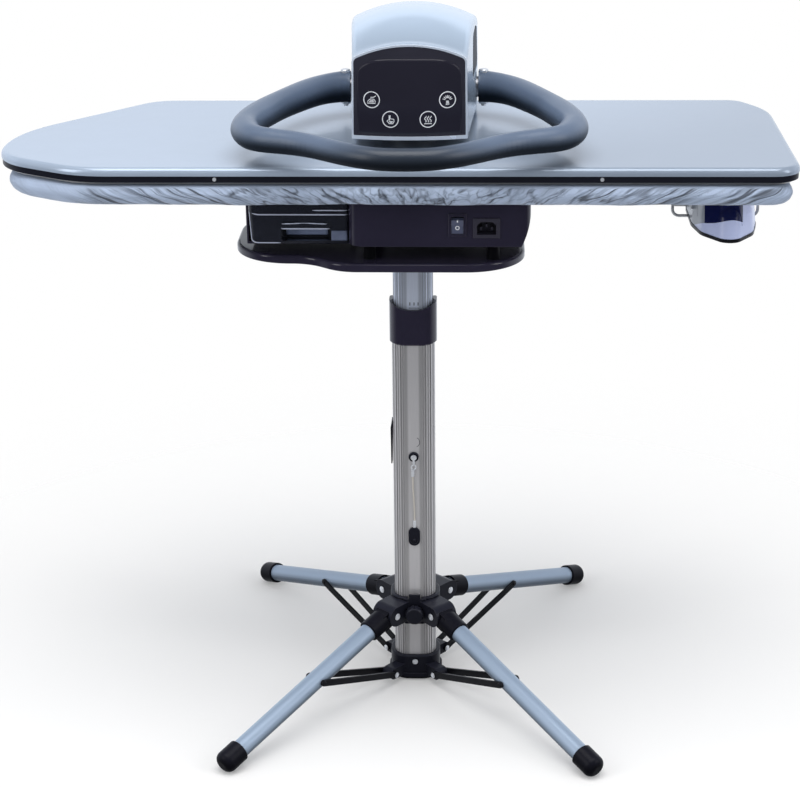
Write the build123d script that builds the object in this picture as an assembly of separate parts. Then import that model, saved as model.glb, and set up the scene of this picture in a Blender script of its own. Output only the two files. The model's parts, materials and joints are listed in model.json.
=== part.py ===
from build123d import *
import os
from math import atan2, cos, hypot, pi, radians, sin, sqrt, tan

# Steam ironing press on a folding four-legged column stand.
# Millimetres, +Z up, +X to the operator's right, +Y away from the operator.
# The origin is on the floor under the middle of the column.

# Clearances between mating pieces
RUNNING_FIT = 0.05
SLIDING_GAP = 0.3
SIDE_GAP = 0.4

# Column: two oval aluminium tubes, one sliding in the other
TUBE_WIDTH = 58.0
TUBE_DEPTH = 50.0
TUBE_CORNER = 20.0
TUBE_WALL = 1.8
GROOVE_RADIUS = 0.9
GROOVE_ANGLES = (20.0, 45.0, 70.0)
OUTER_TUBE_BOTTOM = 9.0
OUTER_TUBE_TOP = 552.0
INNER_TUBE_BOTTOM = 125.0
HEIGHT_HOLE_PITCH = 40.0
HEIGHT_HOLE_COUNT = 7
HEIGHT_HOLE_RADIUS = 4.0

# Collar at the top of the outer tube
COLLAR_BOTTOM = 507.0
COLLAR_TOP = 560.0
COLLAR_EAR_HEIGHT = 11.0
COLLAR_WALL = 3.0
COLLAR_DIP_RADIUS = 60.0
COLLAR_DIP_DEPTH = 3.0

# Lock pin, its grommet, the lanyard and the lanyard's anchor
LOCK_PIN_Z = 344.5
LOCK_PIN_RADIUS = 2.5
GROMMET_RADIUS = 7.0
GROMMET_HOLE_RADIUS = 5.0
GROMMET_PROUD = 3.0
PIN_RING_RADIUS = 3.2
PIN_RING_WIRE = 0.9
PIN_RING_DROP = 14.0
ANCHOR_Z = 224.0
ANCHOR_WIDTH = 16.0
ANCHOR_HEIGHT = 28.0
ANCHOR_PROUD = 2.6
LANYARD_DIAMETER = 2.4
LANYARD_CLEARANCE = 0.5

# Height catch plate on the left of the tube
CATCH_TOP_Z = 389.0
CATCH_BOTTOM_Z = 327.0
CATCH_WIDTH = 16.0
CATCH_THICKNESS = 1.6
CATCH_ROLL_RADIUS = 0.8
CATCH_SLANT = 9.0

# Hubs
HUB_WALL = 6.0
LOWER_HUB_BOTTOM = 5.0
LOWER_HUB_TOP = 38.0
HUB_FOOT_MARGIN = 3.0
UPPER_HUB_BOTTOM = 96.0
UPPER_HUB_TOP = 130.0
HUB_TAB_TOP = 137.0
HUB_CHANNEL_WIDTH = 20.0
HUB_CHANNEL_DEPTH = 7.0
HUB_FRONT_WALL = 3.0
KNOB_Z = 111.0
KNOB_RADIUS = 12.5
KNOB_LENGTH = 13.0
KNOB_SHANK_RADIUS = 3.0
KNOB_FLUTES = 12
KNOB_FLUTE_RADIUS = 1.6
KNOB_NECK = 2.0
KNOB_GAP = 0.7
HUB_BOSS_RADIUS = 9.0
HUB_BOSS_LENGTH = 3.0

# Folding legs and their braces, four of each
LEG_AZIMUTH = 49.5
LEG_PIVOT_RADIUS = 56.0
LEG_PIVOT_Z = 112.0
LEG_SLOPE = 17.1
LEG_FOLD_ANGLE = 53.3
LEG_TUBE_RADIUS = 12.5
LEG_TUBE_WALL = 1.3
LEG_TUBE_START = 15.6
LEG_CAP_START = 305.0
LEG_CAP_RADIUS = 15.5
LEG_CAP_NOSE = 10.0
LEG_CAP_WALL = 4.0
LEG_SOCKET_RADIUS = 15.5
LEG_SOCKET_END = 44.0
LEG_TONGUE_HALF = 11.8
LEG_PIN_RADIUS = 3.0
EAR_THICKNESS = 4.8
EAR_RADIUS = 14.6
PIN_HEAD_HEIGHT = 1.6
BRACE_PIVOT_RADIUS = 54.0
BRACE_PIVOT_Z = 17.0
BRACE_LINK_ALONG_LEG = 153.0
BRACE_THICKNESS = 3.0
BRACE_HEIGHT = 9.0
BRACE_PIN_RADIUS = 2.5
LOWER_ARM_HALF = 8.5
LOWER_ARM_RADIUS = 8.0

# Platform plate that carries the machine
PLATFORM_BOTTOM = 645.0
PLATFORM_TOP = 656.0
PLATFORM_SKIN = 3.0
PLATFORM_RIM = 5.0
PLATFORM_LEFT = -231.0
PLATFORM_RIGHT = 148.0
PLATFORM_WIDE_HALF = 136.0
PLATFORM_NARROW_HALF = 100.0
PLATFORM_STEP_X = -131.0
PLATFORM_STEP_SLOPE = 40.0
PLATFORM_STEP_RADIUS = 60.0
PLATFORM_RIGHT_RADIUS = 76.0
PLATFORM_LEFT_RADIUS = 75.0
PLATFORM_TOP_ROUND = 4.0
PLATFORM_FOOT_ROUND = 1.5
PLATFORM_RIB_END = 122.0
PLATFORM_RIB_WIDTH = 4.0
SPIGOT_LENGTH = 60.0
SPIGOT_WALL = 3.0

# Machine feet
MACHINE_FOOT_RADIUS = 8.5
MACHINE_FOOT_XS = (-51.5, 107.0)
MACHINE_FOOT_Y = 108.0

# Housing under the bed
HOUSING_BOTTOM = 676.0
HOUSING_LEFT = -77.5
HOUSING_RIGHT = 154.0
HOUSING_DRAW_IN = 11.5
HOUSING_CURL_HEIGHT = 40.0
HOUSING_CURL_CREASE = 4.0
HOUSING_HALF_DEPTH = 125.0
HOUSING_WALL = 3.0
HOUSING_RIGHT_CORNER = 14.0
HOUSING_FRONT_LEFT_CORNER = 20.0
HOUSING_REAR_LEFT_CORNER = 8.0
REAR_OPENING_LEFT = -47.0
REAR_OPENING_RIGHT = 108.0
REAR_OPENING_MARGIN = 10.0
REAR_COVER_LAP = 7.0
REAR_COVER_THICKNESS = 3.0
REAR_VENT_COUNT = 9

# Switch and mains inlet in the housing's front wall
ROCKER_X = 61.2
ROCKER_Z = 704.6
ROCKER_FRAME_WIDTH = 23.4
ROCKER_FRAME_HEIGHT = 30.0
ROCKER_CUTOUT_WIDTH = 19.0
ROCKER_CUTOUT_HEIGHT = 25.6
ROCKER_DEPTH = 14.0
ROCKER_TILT = 12.0
INLET_X = 98.0
INLET_Z = 700.8
INLET_FRAME_WIDTH = 34.5
INLET_FRAME_HEIGHT = 26.0
INLET_MOUTH_WIDTH = 24.4
INLET_MOUTH_HEIGHT = 16.6
INLET_DEPTH = 22.0
FRAME_PROUD = 1.6

# Water tank drawer
TANK_LEFT = -208.0
TANK_RIGHT = -78.3
TANK_FRONT = -100.0
TANK_REAR = 58.0
TANK_BOTTOM = 672.0
TANK_SEAM = 711.0
TANK_TOP = 737.5
TANK_WALL = 2.5
TANK_LEFT_CORNER = 14.0
TANK_RIGHT_CORNER = 4.0
TANK_DRAFT = 2.0
TANK_LID_PROUD = 1.6
TRAY_THICKNESS = 3.0
BAY_SETBACK = 12.0
PULL_LEFT = -165.0
PULL_RIGHT = -101.0
PULL_BOTTOM = 676.0
PULL_TOP = 693.0
PULL_DEPTH = 18.0
PULL_BAR = 4.5

# Bed: plate, pad and fitted cover
BED_PLATE_BOTTOM = 742.0
BED_PLATE_TOP = 743.5
BED_FLANGE_HEIGHT = 10.0
BED_FLANGE_THICKNESS = 2.0
BED_PAD_TOP = 760.0
COVER_HEM_Z = 739.0
COVER_BULGE_Z = 752.0
COVER_SHOULDER_Z = 760.0
COVER_TOP = 764.4
BED_LEFT = -518.0
BED_RIGHT = 478.0
BED_FRONT = -166.0
BED_REAR = 216.0
BED_RADIUS_SHARE = 0.93
COVER_THICKNESS = 12.0
PAD_GAP = 0.3
BED_PLATE_INSET = 14.0

# Platen: top shell, heat-proof band and heating plate
PLATEN_LEFT = -531.0
PLATEN_RIGHT = 486.0
PLATEN_FRONT = -160.0
PLATEN_REAR = 222.0
PLATEN_BOTTOM = 765.0
BAND_BOTTOM = 769.0
BAND_TOP = 777.0
PLATEN_TOP = 787.0
PLATEN_EDGE_RADIUS = 7.0
PLATEN_WALL = 1.5
BAND_WIDTH = 7.0
BAND_INSET = 1.0
HEATING_PLATE_THICKNESS = 4.5
HEATING_PLATE_GAP = 0.2
PLATEN_STUD_RADIUS = 7.0
PLATEN_STUD_XS = (-330.0, 0.0, 330.0)
PLATEN_STUD_YS = (-90.0, 150.0)
ELEMENT_RADIUS = 3.2
ELEMENT_INSET = 60.0
SHELL_SCREW_X = 240.0
SHELL_SCREW_RADIUS = 2.4

# Plan corners shared by the bed and the platen, as distances from their extremes
NOSE_FRONT_RUN = 119.0
NOSE_FRONT_RISE = 69.0
NOSE_REAR_DROP = 193.0
NOSE_REAR_RUN = 162.0
TAIL_REAR_RUN = 36.0
TAIL_REAR_DROP = 62.0
PLAN_RADII = (130.0, 90.0, 180.0, 60.0, 30.0, 120.0, 35.0)

# Head and arm
HEAD_BOTTOM = 804.0
HEAD_WALL = 3.5
FLANK_WALL = 5.0
CROWN_ANGLE = 23.5
CROWN_ARC_SHARE = 0.85
SHOULDER_RADIUS = 10.0
FLANK_LEAN = 0.008
FACE_RADIUS = 206.0
FACE_MARGIN = 0.4
BEZEL_DEPTH = 5.0
BEZEL_WIDTH = 2.4
BEZEL_SILL = 4.6
PANEL_DEPTH = 4.0
PANEL_BACKSET = 0.5
INLAY_DEPTH = 0.9
INLAY_THICKNESS = 1.4
INLAY_GAP = 0.15
INLAY_MIDDLE_Y = 92.0
INLAY_MIDDLE_Z = 885.0
INLAY_LENGTH = 116.0
INLAY_HEIGHT = 62.0
# Each station: along Y, height of the underside, tilt back, height to the crown, half width
ARM_STATIONS = (
    (-70.0, HEAD_BOTTOM, 3.5, 120.0, 73.6),
    (0.0, HEAD_BOTTOM, 2.0, 138.0, 77.6),
    (70.0, HEAD_BOTTOM, 4.0, 142.0, 82.2),
    (140.0, HEAD_BOTTOM, 14.0, 134.0, 85.4),
    (200.0, 798.0, 38.0, 110.0, 84.0),
    (233.5, 768.0, 68.0, 77.0, 78.0),
    (240.5, 728.0, 86.0, 59.0, 72.0),
    (241.5, 688.0, 90.0, 53.0, 68.0),
)

# Arm hinge behind the bed
HINGE_Y = 266.0
HINGE_Z = 708.0
HINGE_PIN_RADIUS = 6.0
HINGE_EAR_RADIUS = 14.0
HINGE_EAR_INNER = 34.0
HINGE_EAR_THICKNESS = 6.0
FRAME_PLATE_INNER = 42.0
FRAME_PLATE_THICKNESS = 4.0

# Press handle
SHAFT_Y = 120.0
SHAFT_Z = 828.0
SHAFT_RADIUS = 14.0
HANDLE_BOLT_X = 93.5
HANDLE_BOLT_RADIUS = 3.0
HANDLE_BOLT_HEAD = 6.5
HANDLE_BOLT_SEAT = 18.0
HANDLE_BOLT_HEAD_HEIGHT = 6.0
SHAFT_END_MARGIN = 9.0
# Half of the grip's centreline from root to middle: x, y, z and radius
GRIP_STATIONS = (
    (86.4, 120.0, 828.0, 21.0),
    (106.0, 115.0, 828.0, 20.6),
    (128.0, 98.0, 827.5, 19.8),
    (156.0, 54.0, 826.5, 19.2),
    (184.0, -6.0, 825.0, 18.8),
    (202.0, -60.0, 824.0, 18.4),
    (207.0, -98.0, 823.0, 17.8),
    (196.0, -134.0, 822.0, 16.8),
    (172.0, -156.0, 822.0, 15.6),
    (138.0, -171.0, 822.0, 15.0),
    (107.0, -193.0, 822.0, 14.4),
    (75.0, -222.0, 822.0, 14.0),
    (40.0, -245.0, 822.0, 13.8),
)
GRIP_MIDDLE = (0.0, -252.0, 822.0, 13.8)

# Travel iron in its wire cradle
IRON_X = 405.0
IRON_NOSE_Y = -130.0
IRON_LENGTH = 168.0
IRON_WIDTH = 84.0
IRON_SOLE_BOTTOM = 681.0
IRON_SOLE_TOP = 685.5
IRON_SEAM = 712.0
IRON_TOP = 737.0
CRADLE_WIRE_RADIUS = 2.0
CRADLE_LEFT = 344.0
CRADLE_RIGHT = 456.0
CRADLE_YS = (10.0, 62.0)
CRADLE_BEND = 9.0


def box_between(x0, x1, y0, y1, z0, z1):
    """A box given by its two opposite corners."""
    return Pos((x0 + x1) / 2, (y0 + y1) / 2, (z0 + z1) / 2) * Box(x1 - x0, y1 - y0, z1 - z0)


def raised(face, z0, z1):
    """A face drawn at z = 0, extruded from z0 to z1."""
    return extrude(Pos(0, 0, z0) * face, z1 - z0)


def rod_y(x, z, radius, y0, y1):
    """A round rod along Y between two stations."""
    return Pos(x, y0, z) * Rot(-90, 0, 0) * Cylinder(radius, y1 - y0, align=(Align.CENTER, Align.CENTER, Align.MIN))


def rod_x(y, z, radius, x0, x1):
    """A round rod along X between two stations."""
    return Pos(x0, y, z) * Rot(0, 90, 0) * Cylinder(radius, x1 - x0, align=(Align.CENTER, Align.CENTER, Align.MIN))


def rod_z(x, y, radius, z0, z1):
    """A round upright rod between two heights."""
    return Pos(x, y, z0) * Cylinder(radius, z1 - z0, align=(Align.CENTER, Align.CENTER, Align.MIN))


def closed_face(corners, corner_radii):
    """A plan face whose straight sides meet in arcs."""
    outline = FilletPolyline(*corners, radius=corner_radii, close=True)
    return make_face(outline.edges())


def rounded_box(x0, x1, y0, y1, z0, z1, corner):
    """A box with its four upright edges rounded."""
    face = Pos((x0 + x1) / 2, (y0 + y1) / 2) * RectangleRounded(x1 - x0, y1 - y0, corner)
    return raised(face, z0, z1)


def oval(growth):
    """The column's oval section, grown outwards or inwards by a distance."""
    return RectangleRounded(TUBE_WIDTH + 2 * growth, TUBE_DEPTH + 2 * growth, TUBE_CORNER + growth)


def fluted_oval(growth):
    """The oval section with three fine grooves round each of its corners."""
    section = oval(growth)
    centre_x = TUBE_WIDTH / 2 - TUBE_CORNER
    centre_y = TUBE_DEPTH / 2 - TUBE_CORNER
    reach = TUBE_CORNER + growth
    for side_x in (-1, 1):
        for side_y in (-1, 1):
            for angle in GROOVE_ANGLES:
                x = side_x * (centre_x + reach * cos(radians(angle)))
                y = side_y * (centre_y + reach * sin(radians(angle)))
                section -= Pos(x, y) * Circle(GROOVE_RADIUS)
    return section


INNER_GROWTH = -TUBE_WALL - SLIDING_GAP
INNER_BORE_GROWTH = INNER_GROWTH - TUBE_WALL
TUBE_FRONT = -TUBE_DEPTH / 2


def outer_tube():
    """The fixed lower tube with its front holes for the lock pin and the anchor."""
    tube = raised(fluted_oval(0) - oval(-TUBE_WALL), OUTER_TUBE_BOTTOM, OUTER_TUBE_TOP)
    tube -= rod_y(0, LOCK_PIN_Z, GROMMET_HOLE_RADIUS, TUBE_FRONT - 5, TUBE_FRONT + 8)
    tube -= rod_y(0, ANCHOR_Z, 3.0, TUBE_FRONT - 5, TUBE_FRONT + 8)
    return tube


def column_collar():
    """The moulded collar over the outer tube's end, with its low front and its side ears."""
    collar = raised(oval(COLLAR_WALL), COLLAR_BOTTOM, COLLAR_TOP + COLLAR_EAR_HEIGHT)
    bottom_edges = collar.edges().group_by(Axis.Z)[0]
    collar = chamfer(bottom_edges, 1.6)
    dip_z = COLLAR_TOP - COLLAR_DIP_DEPTH + COLLAR_DIP_RADIUS
    collar -= rod_y(0, dip_z, COLLAR_DIP_RADIUS, -TUBE_WIDTH, TUBE_WIDTH)
    collar -= raised(oval(RUNNING_FIT), COLLAR_BOTTOM - 1, OUTER_TUBE_TOP)
    collar -= raised(oval(INNER_GROWTH + SLIDING_GAP), OUTER_TUBE_TOP - 1, COLLAR_TOP + 40)
    return collar


def inner_tube():
    """The sliding upper tube with its row of height holes down the front."""
    tube = raised(fluted_oval(INNER_GROWTH) - oval(INNER_BORE_GROWTH), INNER_TUBE_BOTTOM, PLATFORM_TOP - PLATFORM_SKIN)
    for index in range(HEIGHT_HOLE_COUNT):
        z = LOCK_PIN_Z + HEIGHT_HOLE_PITCH * (1 - index)
        tube -= rod_y(0, z, HEIGHT_HOLE_RADIUS, TUBE_FRONT - 5, TUBE_FRONT + 10)
    return tube


def column_plugs():
    """The lock pin's grommet and the lanyard's anchor, both pressed into the tube's front."""
    face_y = TUBE_FRONT
    grommet = rod_y(0, LOCK_PIN_Z, GROMMET_RADIUS, face_y - GROMMET_PROUD, face_y)
    grommet = fillet(grommet.edges().group_by(Axis.Y)[0], 1.4)
    grommet += rod_y(0, LOCK_PIN_Z, GROMMET_HOLE_RADIUS - RUNNING_FIT, face_y, face_y + TUBE_WALL)
    grommet -= rod_y(0, LOCK_PIN_Z, LOCK_PIN_RADIUS + RUNNING_FIT, face_y - 10, face_y + 10)
    shield_face = SlotOverall(ANCHOR_HEIGHT, ANCHOR_WIDTH, rotation=90)
    shield = extrude(Plane.XZ * shield_face, ANCHOR_PROUD)
    shield = Pos(0, face_y, ANCHOR_Z) * shield
    shield = fillet(shield.edges().group_by(Axis.Y)[0], 1.0)
    mouth = Pos(0, face_y - ANCHOR_PROUD, ANCHOR_Z - 6.5) * Rot(90, 0, 0) * Cylinder(4.6, 2.4)
    shield -= mouth
    shield += rod_y(0, ANCHOR_Z, 2.95, face_y, face_y + TUBE_WALL)
    rivet = Pos(0, face_y - ANCHOR_PROUD + 1.2, ANCHOR_Z - 6.5) * Rot(90, 0, 0) * Cone(3.2, 2.2, 1.2, align=(Align.CENTER, Align.CENTER, Align.MIN))
    return [grommet, shield, rivet]


def lock_pin():
    """The spring pin with its head, and the small ring that the lanyard pulls."""
    head_y = TUBE_FRONT - GROMMET_PROUD - 2.6
    shank = rod_y(0, LOCK_PIN_Z, LOCK_PIN_RADIUS, head_y, TUBE_FRONT + TUBE_WALL - 0.2)
    head = rod_y(0, LOCK_PIN_Z, 4.0, head_y, TUBE_FRONT - GROMMET_PROUD - SLIDING_GAP)
    head = fillet(head.edges().group_by(Axis.Y)[0], 1.0)
    hook = box_between(-1.5, 1.5, head_y, head_y + 1.4, LOCK_PIN_Z - PIN_RING_DROP + PIN_RING_RADIUS - 0.6, LOCK_PIN_Z)
    ring = Pos(0, head_y + 0.9, LOCK_PIN_Z - PIN_RING_DROP) * Rot(90, 0, 0) * Torus(PIN_RING_RADIUS, PIN_RING_WIRE)
    return shank + head + hook + ring


LANYARD_TOP_Z = LOCK_PIN_Z - PIN_RING_DROP - PIN_RING_RADIUS - PIN_RING_WIRE
LANYARD_BOTTOM_Z = ANCHOR_Z + ANCHOR_HEIGHT / 2
LANYARD_Y = TUBE_FRONT - LANYARD_DIAMETER / 2 - LANYARD_CLEARANCE
# The wire bows a little to the right between the ring and the anchor
LANYARD_ROUTE = (
    (0.4, LANYARD_Y, LANYARD_BOTTOM_Z),
    (0.9, LANYARD_Y, LANYARD_BOTTOM_Z + 22),
    (-0.6, LANYARD_Y - 0.2, LANYARD_BOTTOM_Z + 47),
    (-1.6, LANYARD_Y - 0.5, LANYARD_BOTTOM_Z + 68),
    (-1.3, LANYARD_Y - 0.9, LANYARD_TOP_Z),
)


def route_tube(points, diameter, label):
    """A round tube along straight runs joined by the largest arcs that the runs allow."""
    corner_radii = []
    for before, corner, after in zip(points, points[1:], points[2:]):
        run_in = Vector(*corner) - Vector(*before)
        run_out = Vector(*after) - Vector(*corner)
        turn = radians(run_in.get_angle(run_out))
        shorter = min(run_in.length, run_out.length)
        corner_radii.append(0.45 * shorter / tan(turn / 2))
    path = FilletPolyline(*points, radius=corner_radii)
    start = Plane(origin=path @ 0, z_dir=path % 0)
    tube = sweep(start * Circle(diameter / 2), path=path)
    expected = pi * diameter ** 2 / 4 * path.length
    print(label, "radii", [round(radius) for radius in corner_radii], "length", round(path.length, 1))
    print(label, "volume over section times length", round(tube.volume / expected, 4))
    return tube


def lanyard():
    """The wire between the lock pin's ring and its anchor."""
    return route_tube(LANYARD_ROUTE, LANYARD_DIAMETER, "lanyard")


def height_catch():
    """The sprung catch plate on the tube's left flank, hinged on its slanted top."""
    x = -TUBE_WIDTH / 2 - SLIDING_GAP
    roll_x = x - CATCH_ROLL_RADIUS
    knee_z = CATCH_TOP_Z - CATCH_SLANT
    bow = 0.9
    outline = Polyline((x, CATCH_TOP_Z), (roll_x, CATCH_TOP_Z + CATCH_ROLL_RADIUS / 2),
                       (x - CATCH_THICKNESS - 1.5 * bow, knee_z), (x - CATCH_THICKNESS - bow, CATCH_BOTTOM_Z),
                       (x - bow, CATCH_BOTTOM_Z), (x, knee_z), close=True)
    plate = extrude(Plane.XZ * make_face(outline.edges()), CATCH_WIDTH / 2, both=True)
    return plate + rod_y(roll_x, CATCH_TOP_Z, CATCH_ROLL_RADIUS, -CATCH_WIDTH / 2, CATCH_WIDTH / 2)


def lower_hub():
    """The fixed bottom hub with its four clevis arms for the braces."""
    hub = raised(oval(HUB_WALL), LOWER_HUB_BOTTOM, LOWER_HUB_TOP)
    top_edges = hub.edges().group_by(Axis.Z)[-1]
    hub = fillet(top_edges, 2.0)
    hub += Pos(0, 0, LOWER_HUB_BOTTOM) * extrude(oval(HUB_WALL + 2.5), 6.0)
    for azimuth in leg_azimuths().values():
        arm_plane = radial_plane(azimuth, BRACE_PIVOT_RADIUS, BRACE_PIVOT_Z)
        reach = BRACE_PIVOT_RADIUS - TUBE_CORNER
        arm_face = Pos(-reach / 2, 0) * SlotCenterToCenter(reach, 2 * LOWER_ARM_RADIUS)
        hub += extrude(arm_plane * arm_face, LOWER_ARM_HALF, both=True)
        web_height = BRACE_PIVOT_Z - LOWER_HUB_BOTTOM - 1
        web_face = Pos(-reach / 2 - 4, -web_height / 2) * Rectangle(reach - 12, web_height)
        hub += extrude(arm_plane * web_face, LOWER_ARM_HALF - 3.0, both=True)
    hub -= raised(oval(RUNNING_FIT), OUTER_TUBE_BOTTOM, LOWER_HUB_TOP + 1)
    for azimuth in leg_azimuths().values():
        arm_plane = radial_plane(azimuth, BRACE_PIVOT_RADIUS, BRACE_PIVOT_Z)
        hub -= extrude(arm_plane * Circle(BRACE_PIN_RADIUS + RUNNING_FIT), LOWER_ARM_HALF + 1, both=True)
    hub -= rod_y(0, 29, 2.1, TUBE_FRONT - 20, TUBE_FRONT)
    return hub


def hub_foot():
    """The rubber pad under the bottom hub."""
    return raised(oval(HUB_WALL - HUB_FOOT_MARGIN), 0, LOWER_HUB_BOTTOM)


def hub_fasteners():
    """The bottom hub's front screw and its four brace pins."""
    hub_face = TUBE_FRONT - HUB_WALL
    screw = rod_y(0, 29, 2.0, hub_face - 0.2, TUBE_FRONT - RUNNING_FIT)
    screw_head = rod_y(0, 29, 4.0, hub_face - 2.0, hub_face)
    screw_head = fillet(screw_head.edges().group_by(Axis.Y)[0], 1.2)
    fasteners = [screw + screw_head]
    for azimuth in leg_azimuths().values():
        plane = radial_plane(azimuth, BRACE_PIVOT_RADIUS, BRACE_PIVOT_Z)
        half = LOWER_ARM_HALF + SIDE_GAP + BRACE_THICKNESS + SIDE_GAP
        fasteners.append(headed_pin(plane, BRACE_PIN_RADIUS, half))
    return fasteners


def headed_pin(plane, radius, half_length):
    """A pin across a fork, with a low domed head at each end, centred on a plane."""
    head_radius = radius * 1.6
    tip_radius = radius * 0.4
    dome = half_length + PIN_HEAD_HEIGHT
    rim = half_length + 0.6
    arch = half_length + PIN_HEAD_HEIGHT * 0.8
    profile = make_face([
        Line((0, -dome), (0, dome)),
        Line((0, dome), (tip_radius, dome)),
        ThreePointArc((tip_radius, dome), (radius * 1.15, arch), (head_radius, rim)),
        Polyline((head_radius, rim), (head_radius, half_length), (radius, half_length), (radius, -half_length),
                 (head_radius, -half_length), (head_radius, -rim)),
        ThreePointArc((head_radius, -rim), (radius * 1.15, -arch), (tip_radius, -dome)),
        Line((tip_radius, -dome), (0, -dome)),
    ])
    return plane.location * revolve(Plane.XZ * profile, Axis.Z)


def leg_azimuths():
    """The four legs' directions in plan, by their place seen by the operator."""
    return {
        "fl": 180 + LEG_AZIMUTH,
        "fr": -LEG_AZIMUTH,
        "bl": 180 - LEG_AZIMUTH,
        "br": LEG_AZIMUTH,
    }


def radial_plane(azimuth, radius, z):
    """An upright plane through the column's axis: x outwards, y up, its normal along a leg's pins."""
    outwards = Vector(cos(radians(azimuth)), sin(radians(azimuth)), 0)
    normal = outwards.cross(Vector(0, 0, 1))
    return Plane(origin=outwards * radius + Vector(0, 0, z), x_dir=outwards, z_dir=normal)


def leg_plane(azimuth):
    """The leg's own frame: x runs down the leg from its pivot."""
    plane = radial_plane(azimuth, LEG_PIVOT_RADIUS, LEG_PIVOT_Z)
    slope = radians(LEG_SLOPE)
    down_leg = plane.x_dir * cos(slope) - Vector(0, 0, 1) * sin(slope)
    return Plane(origin=plane.origin, x_dir=down_leg, z_dir=plane.z_dir)


def along_leg(radius, s0, s1):
    """A round rod on the leg's axis, in the leg's own frame."""
    return Pos(s0, 0, 0) * Rot(0, 90, 0) * Cylinder(radius, s1 - s0, align=(Align.CENTER, Align.CENTER, Align.MIN))


def cap_length():
    """How far down the leg the rubber cap reaches, so that its rounded edge meets the floor."""
    slope = radians(LEG_SLOPE)
    shoulder = LEG_CAP_RADIUS - LEG_CAP_NOSE
    nose_centre = (LEG_PIVOT_Z - shoulder * cos(slope) - LEG_CAP_NOSE) / sin(slope)
    return nose_centre + LEG_CAP_NOSE


def leg_tube(azimuth):
    """One leg's steel tube."""
    end = cap_length() - LEG_CAP_WALL - 5
    tube = along_leg(LEG_TUBE_RADIUS, LEG_TUBE_START, end)
    tube -= along_leg(LEG_TUBE_RADIUS - LEG_TUBE_WALL, LEG_TUBE_START - 1, end + 1)
    return leg_plane(azimuth).location * tube


def leg_ends(azimuth):
    """One leg's moulded pivot socket and its rubber floor cap."""
    socket = along_leg(LEG_SOCKET_RADIUS, LEG_TUBE_START, LEG_SOCKET_END)
    socket = chamfer(socket.edges().group_by(Axis.X)[-1], 1.2)
    tongue_length = LEG_TUBE_START + 3
    tongue = Pos(tongue_length / 2, 0) * SlotCenterToCenter(tongue_length, 2 * LEG_TONGUE_HALF)
    socket += extrude(tongue, LEG_TONGUE_HALF, both=True)
    socket -= along_leg(LEG_TUBE_RADIUS + RUNNING_FIT, LEG_TUBE_START - RUNNING_FIT, LEG_SOCKET_END + 1)
    socket -= extrude(Circle(LEG_PIN_RADIUS + RUNNING_FIT), LEG_TONGUE_HALF + 1, both=True)
    cap_end = cap_length()
    cap = along_leg(LEG_CAP_RADIUS, LEG_CAP_START, cap_end)
    cap = fillet(cap.edges().group_by(Axis.X)[-1], LEG_CAP_NOSE)
    cap = chamfer(cap.edges().group_by(Axis.X)[0], 1.0)
    cap -= along_leg(LEG_TUBE_RADIUS + RUNNING_FIT, LEG_CAP_START - 1, cap_end - LEG_CAP_WALL - 4)
    place = leg_plane(azimuth).location
    return [place * socket, place * cap]


def brace_points():
    """The brace's two pivots as radius and height: on the bottom hub, and beside the leg."""
    slope = radians(LEG_SLOPE)
    link_radius = LEG_PIVOT_RADIUS + BRACE_LINK_ALONG_LEG * cos(slope)
    link_z = LEG_PIVOT_Z - BRACE_LINK_ALONG_LEG * sin(slope)
    return (BRACE_PIVOT_RADIUS, BRACE_PIVOT_Z), (link_radius, link_z)


def brace(azimuth):
    """One pair of brace bars with the rivet heads on their outer sides."""
    (low_r, low_z), (high_r, high_z) = brace_points()
    length = hypot(high_r - low_r, high_z - low_z)
    slope = atan2(high_z - low_z, high_r - low_r)
    base = radial_plane(azimuth, low_r, low_z)
    along = base.x_dir * cos(slope) + Vector(0, 0, 1) * sin(slope)
    place = Plane(origin=base.origin, x_dir=along, z_dir=base.z_dir).location
    inner_low = LOWER_ARM_HALF + SIDE_GAP
    inner_high = LEG_TUBE_RADIUS + SIDE_GAP
    end = BRACE_HEIGHT
    profile = Polyline((-end, inner_low), (14, inner_low), (length - 18, inner_high), (length + end, inner_high),
                       (length + end, inner_high + BRACE_THICKNESS), (length - 18, inner_high + BRACE_THICKNESS),
                       (14, inner_low + BRACE_THICKNESS), (-end, inner_low + BRACE_THICKNESS), close=True)
    strip = extrude(Plane.XZ * make_face(profile.edges()), BRACE_HEIGHT, both=True)
    trim = Pos(length / 2, 0) * SlotCenterToCenter(length, BRACE_HEIGHT)
    bar = strip & extrude(trim, LEG_CAP_RADIUS * 2, both=True)
    bar -= rod_z(0, 0, BRACE_PIN_RADIUS + RUNNING_FIT, 0, inner_high + 20)
    rivet_z = inner_high + BRACE_THICKNESS
    rivet = Pos(length, 0, rivet_z) * Cone(3.6, 2.4, 1.3, align=(Align.CENTER, Align.CENTER, Align.MIN))
    half = [bar, rivet]
    mirrored = [mirror(piece, Plane.XY) for piece in half]
    return [place * piece for piece in half + mirrored]


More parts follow.
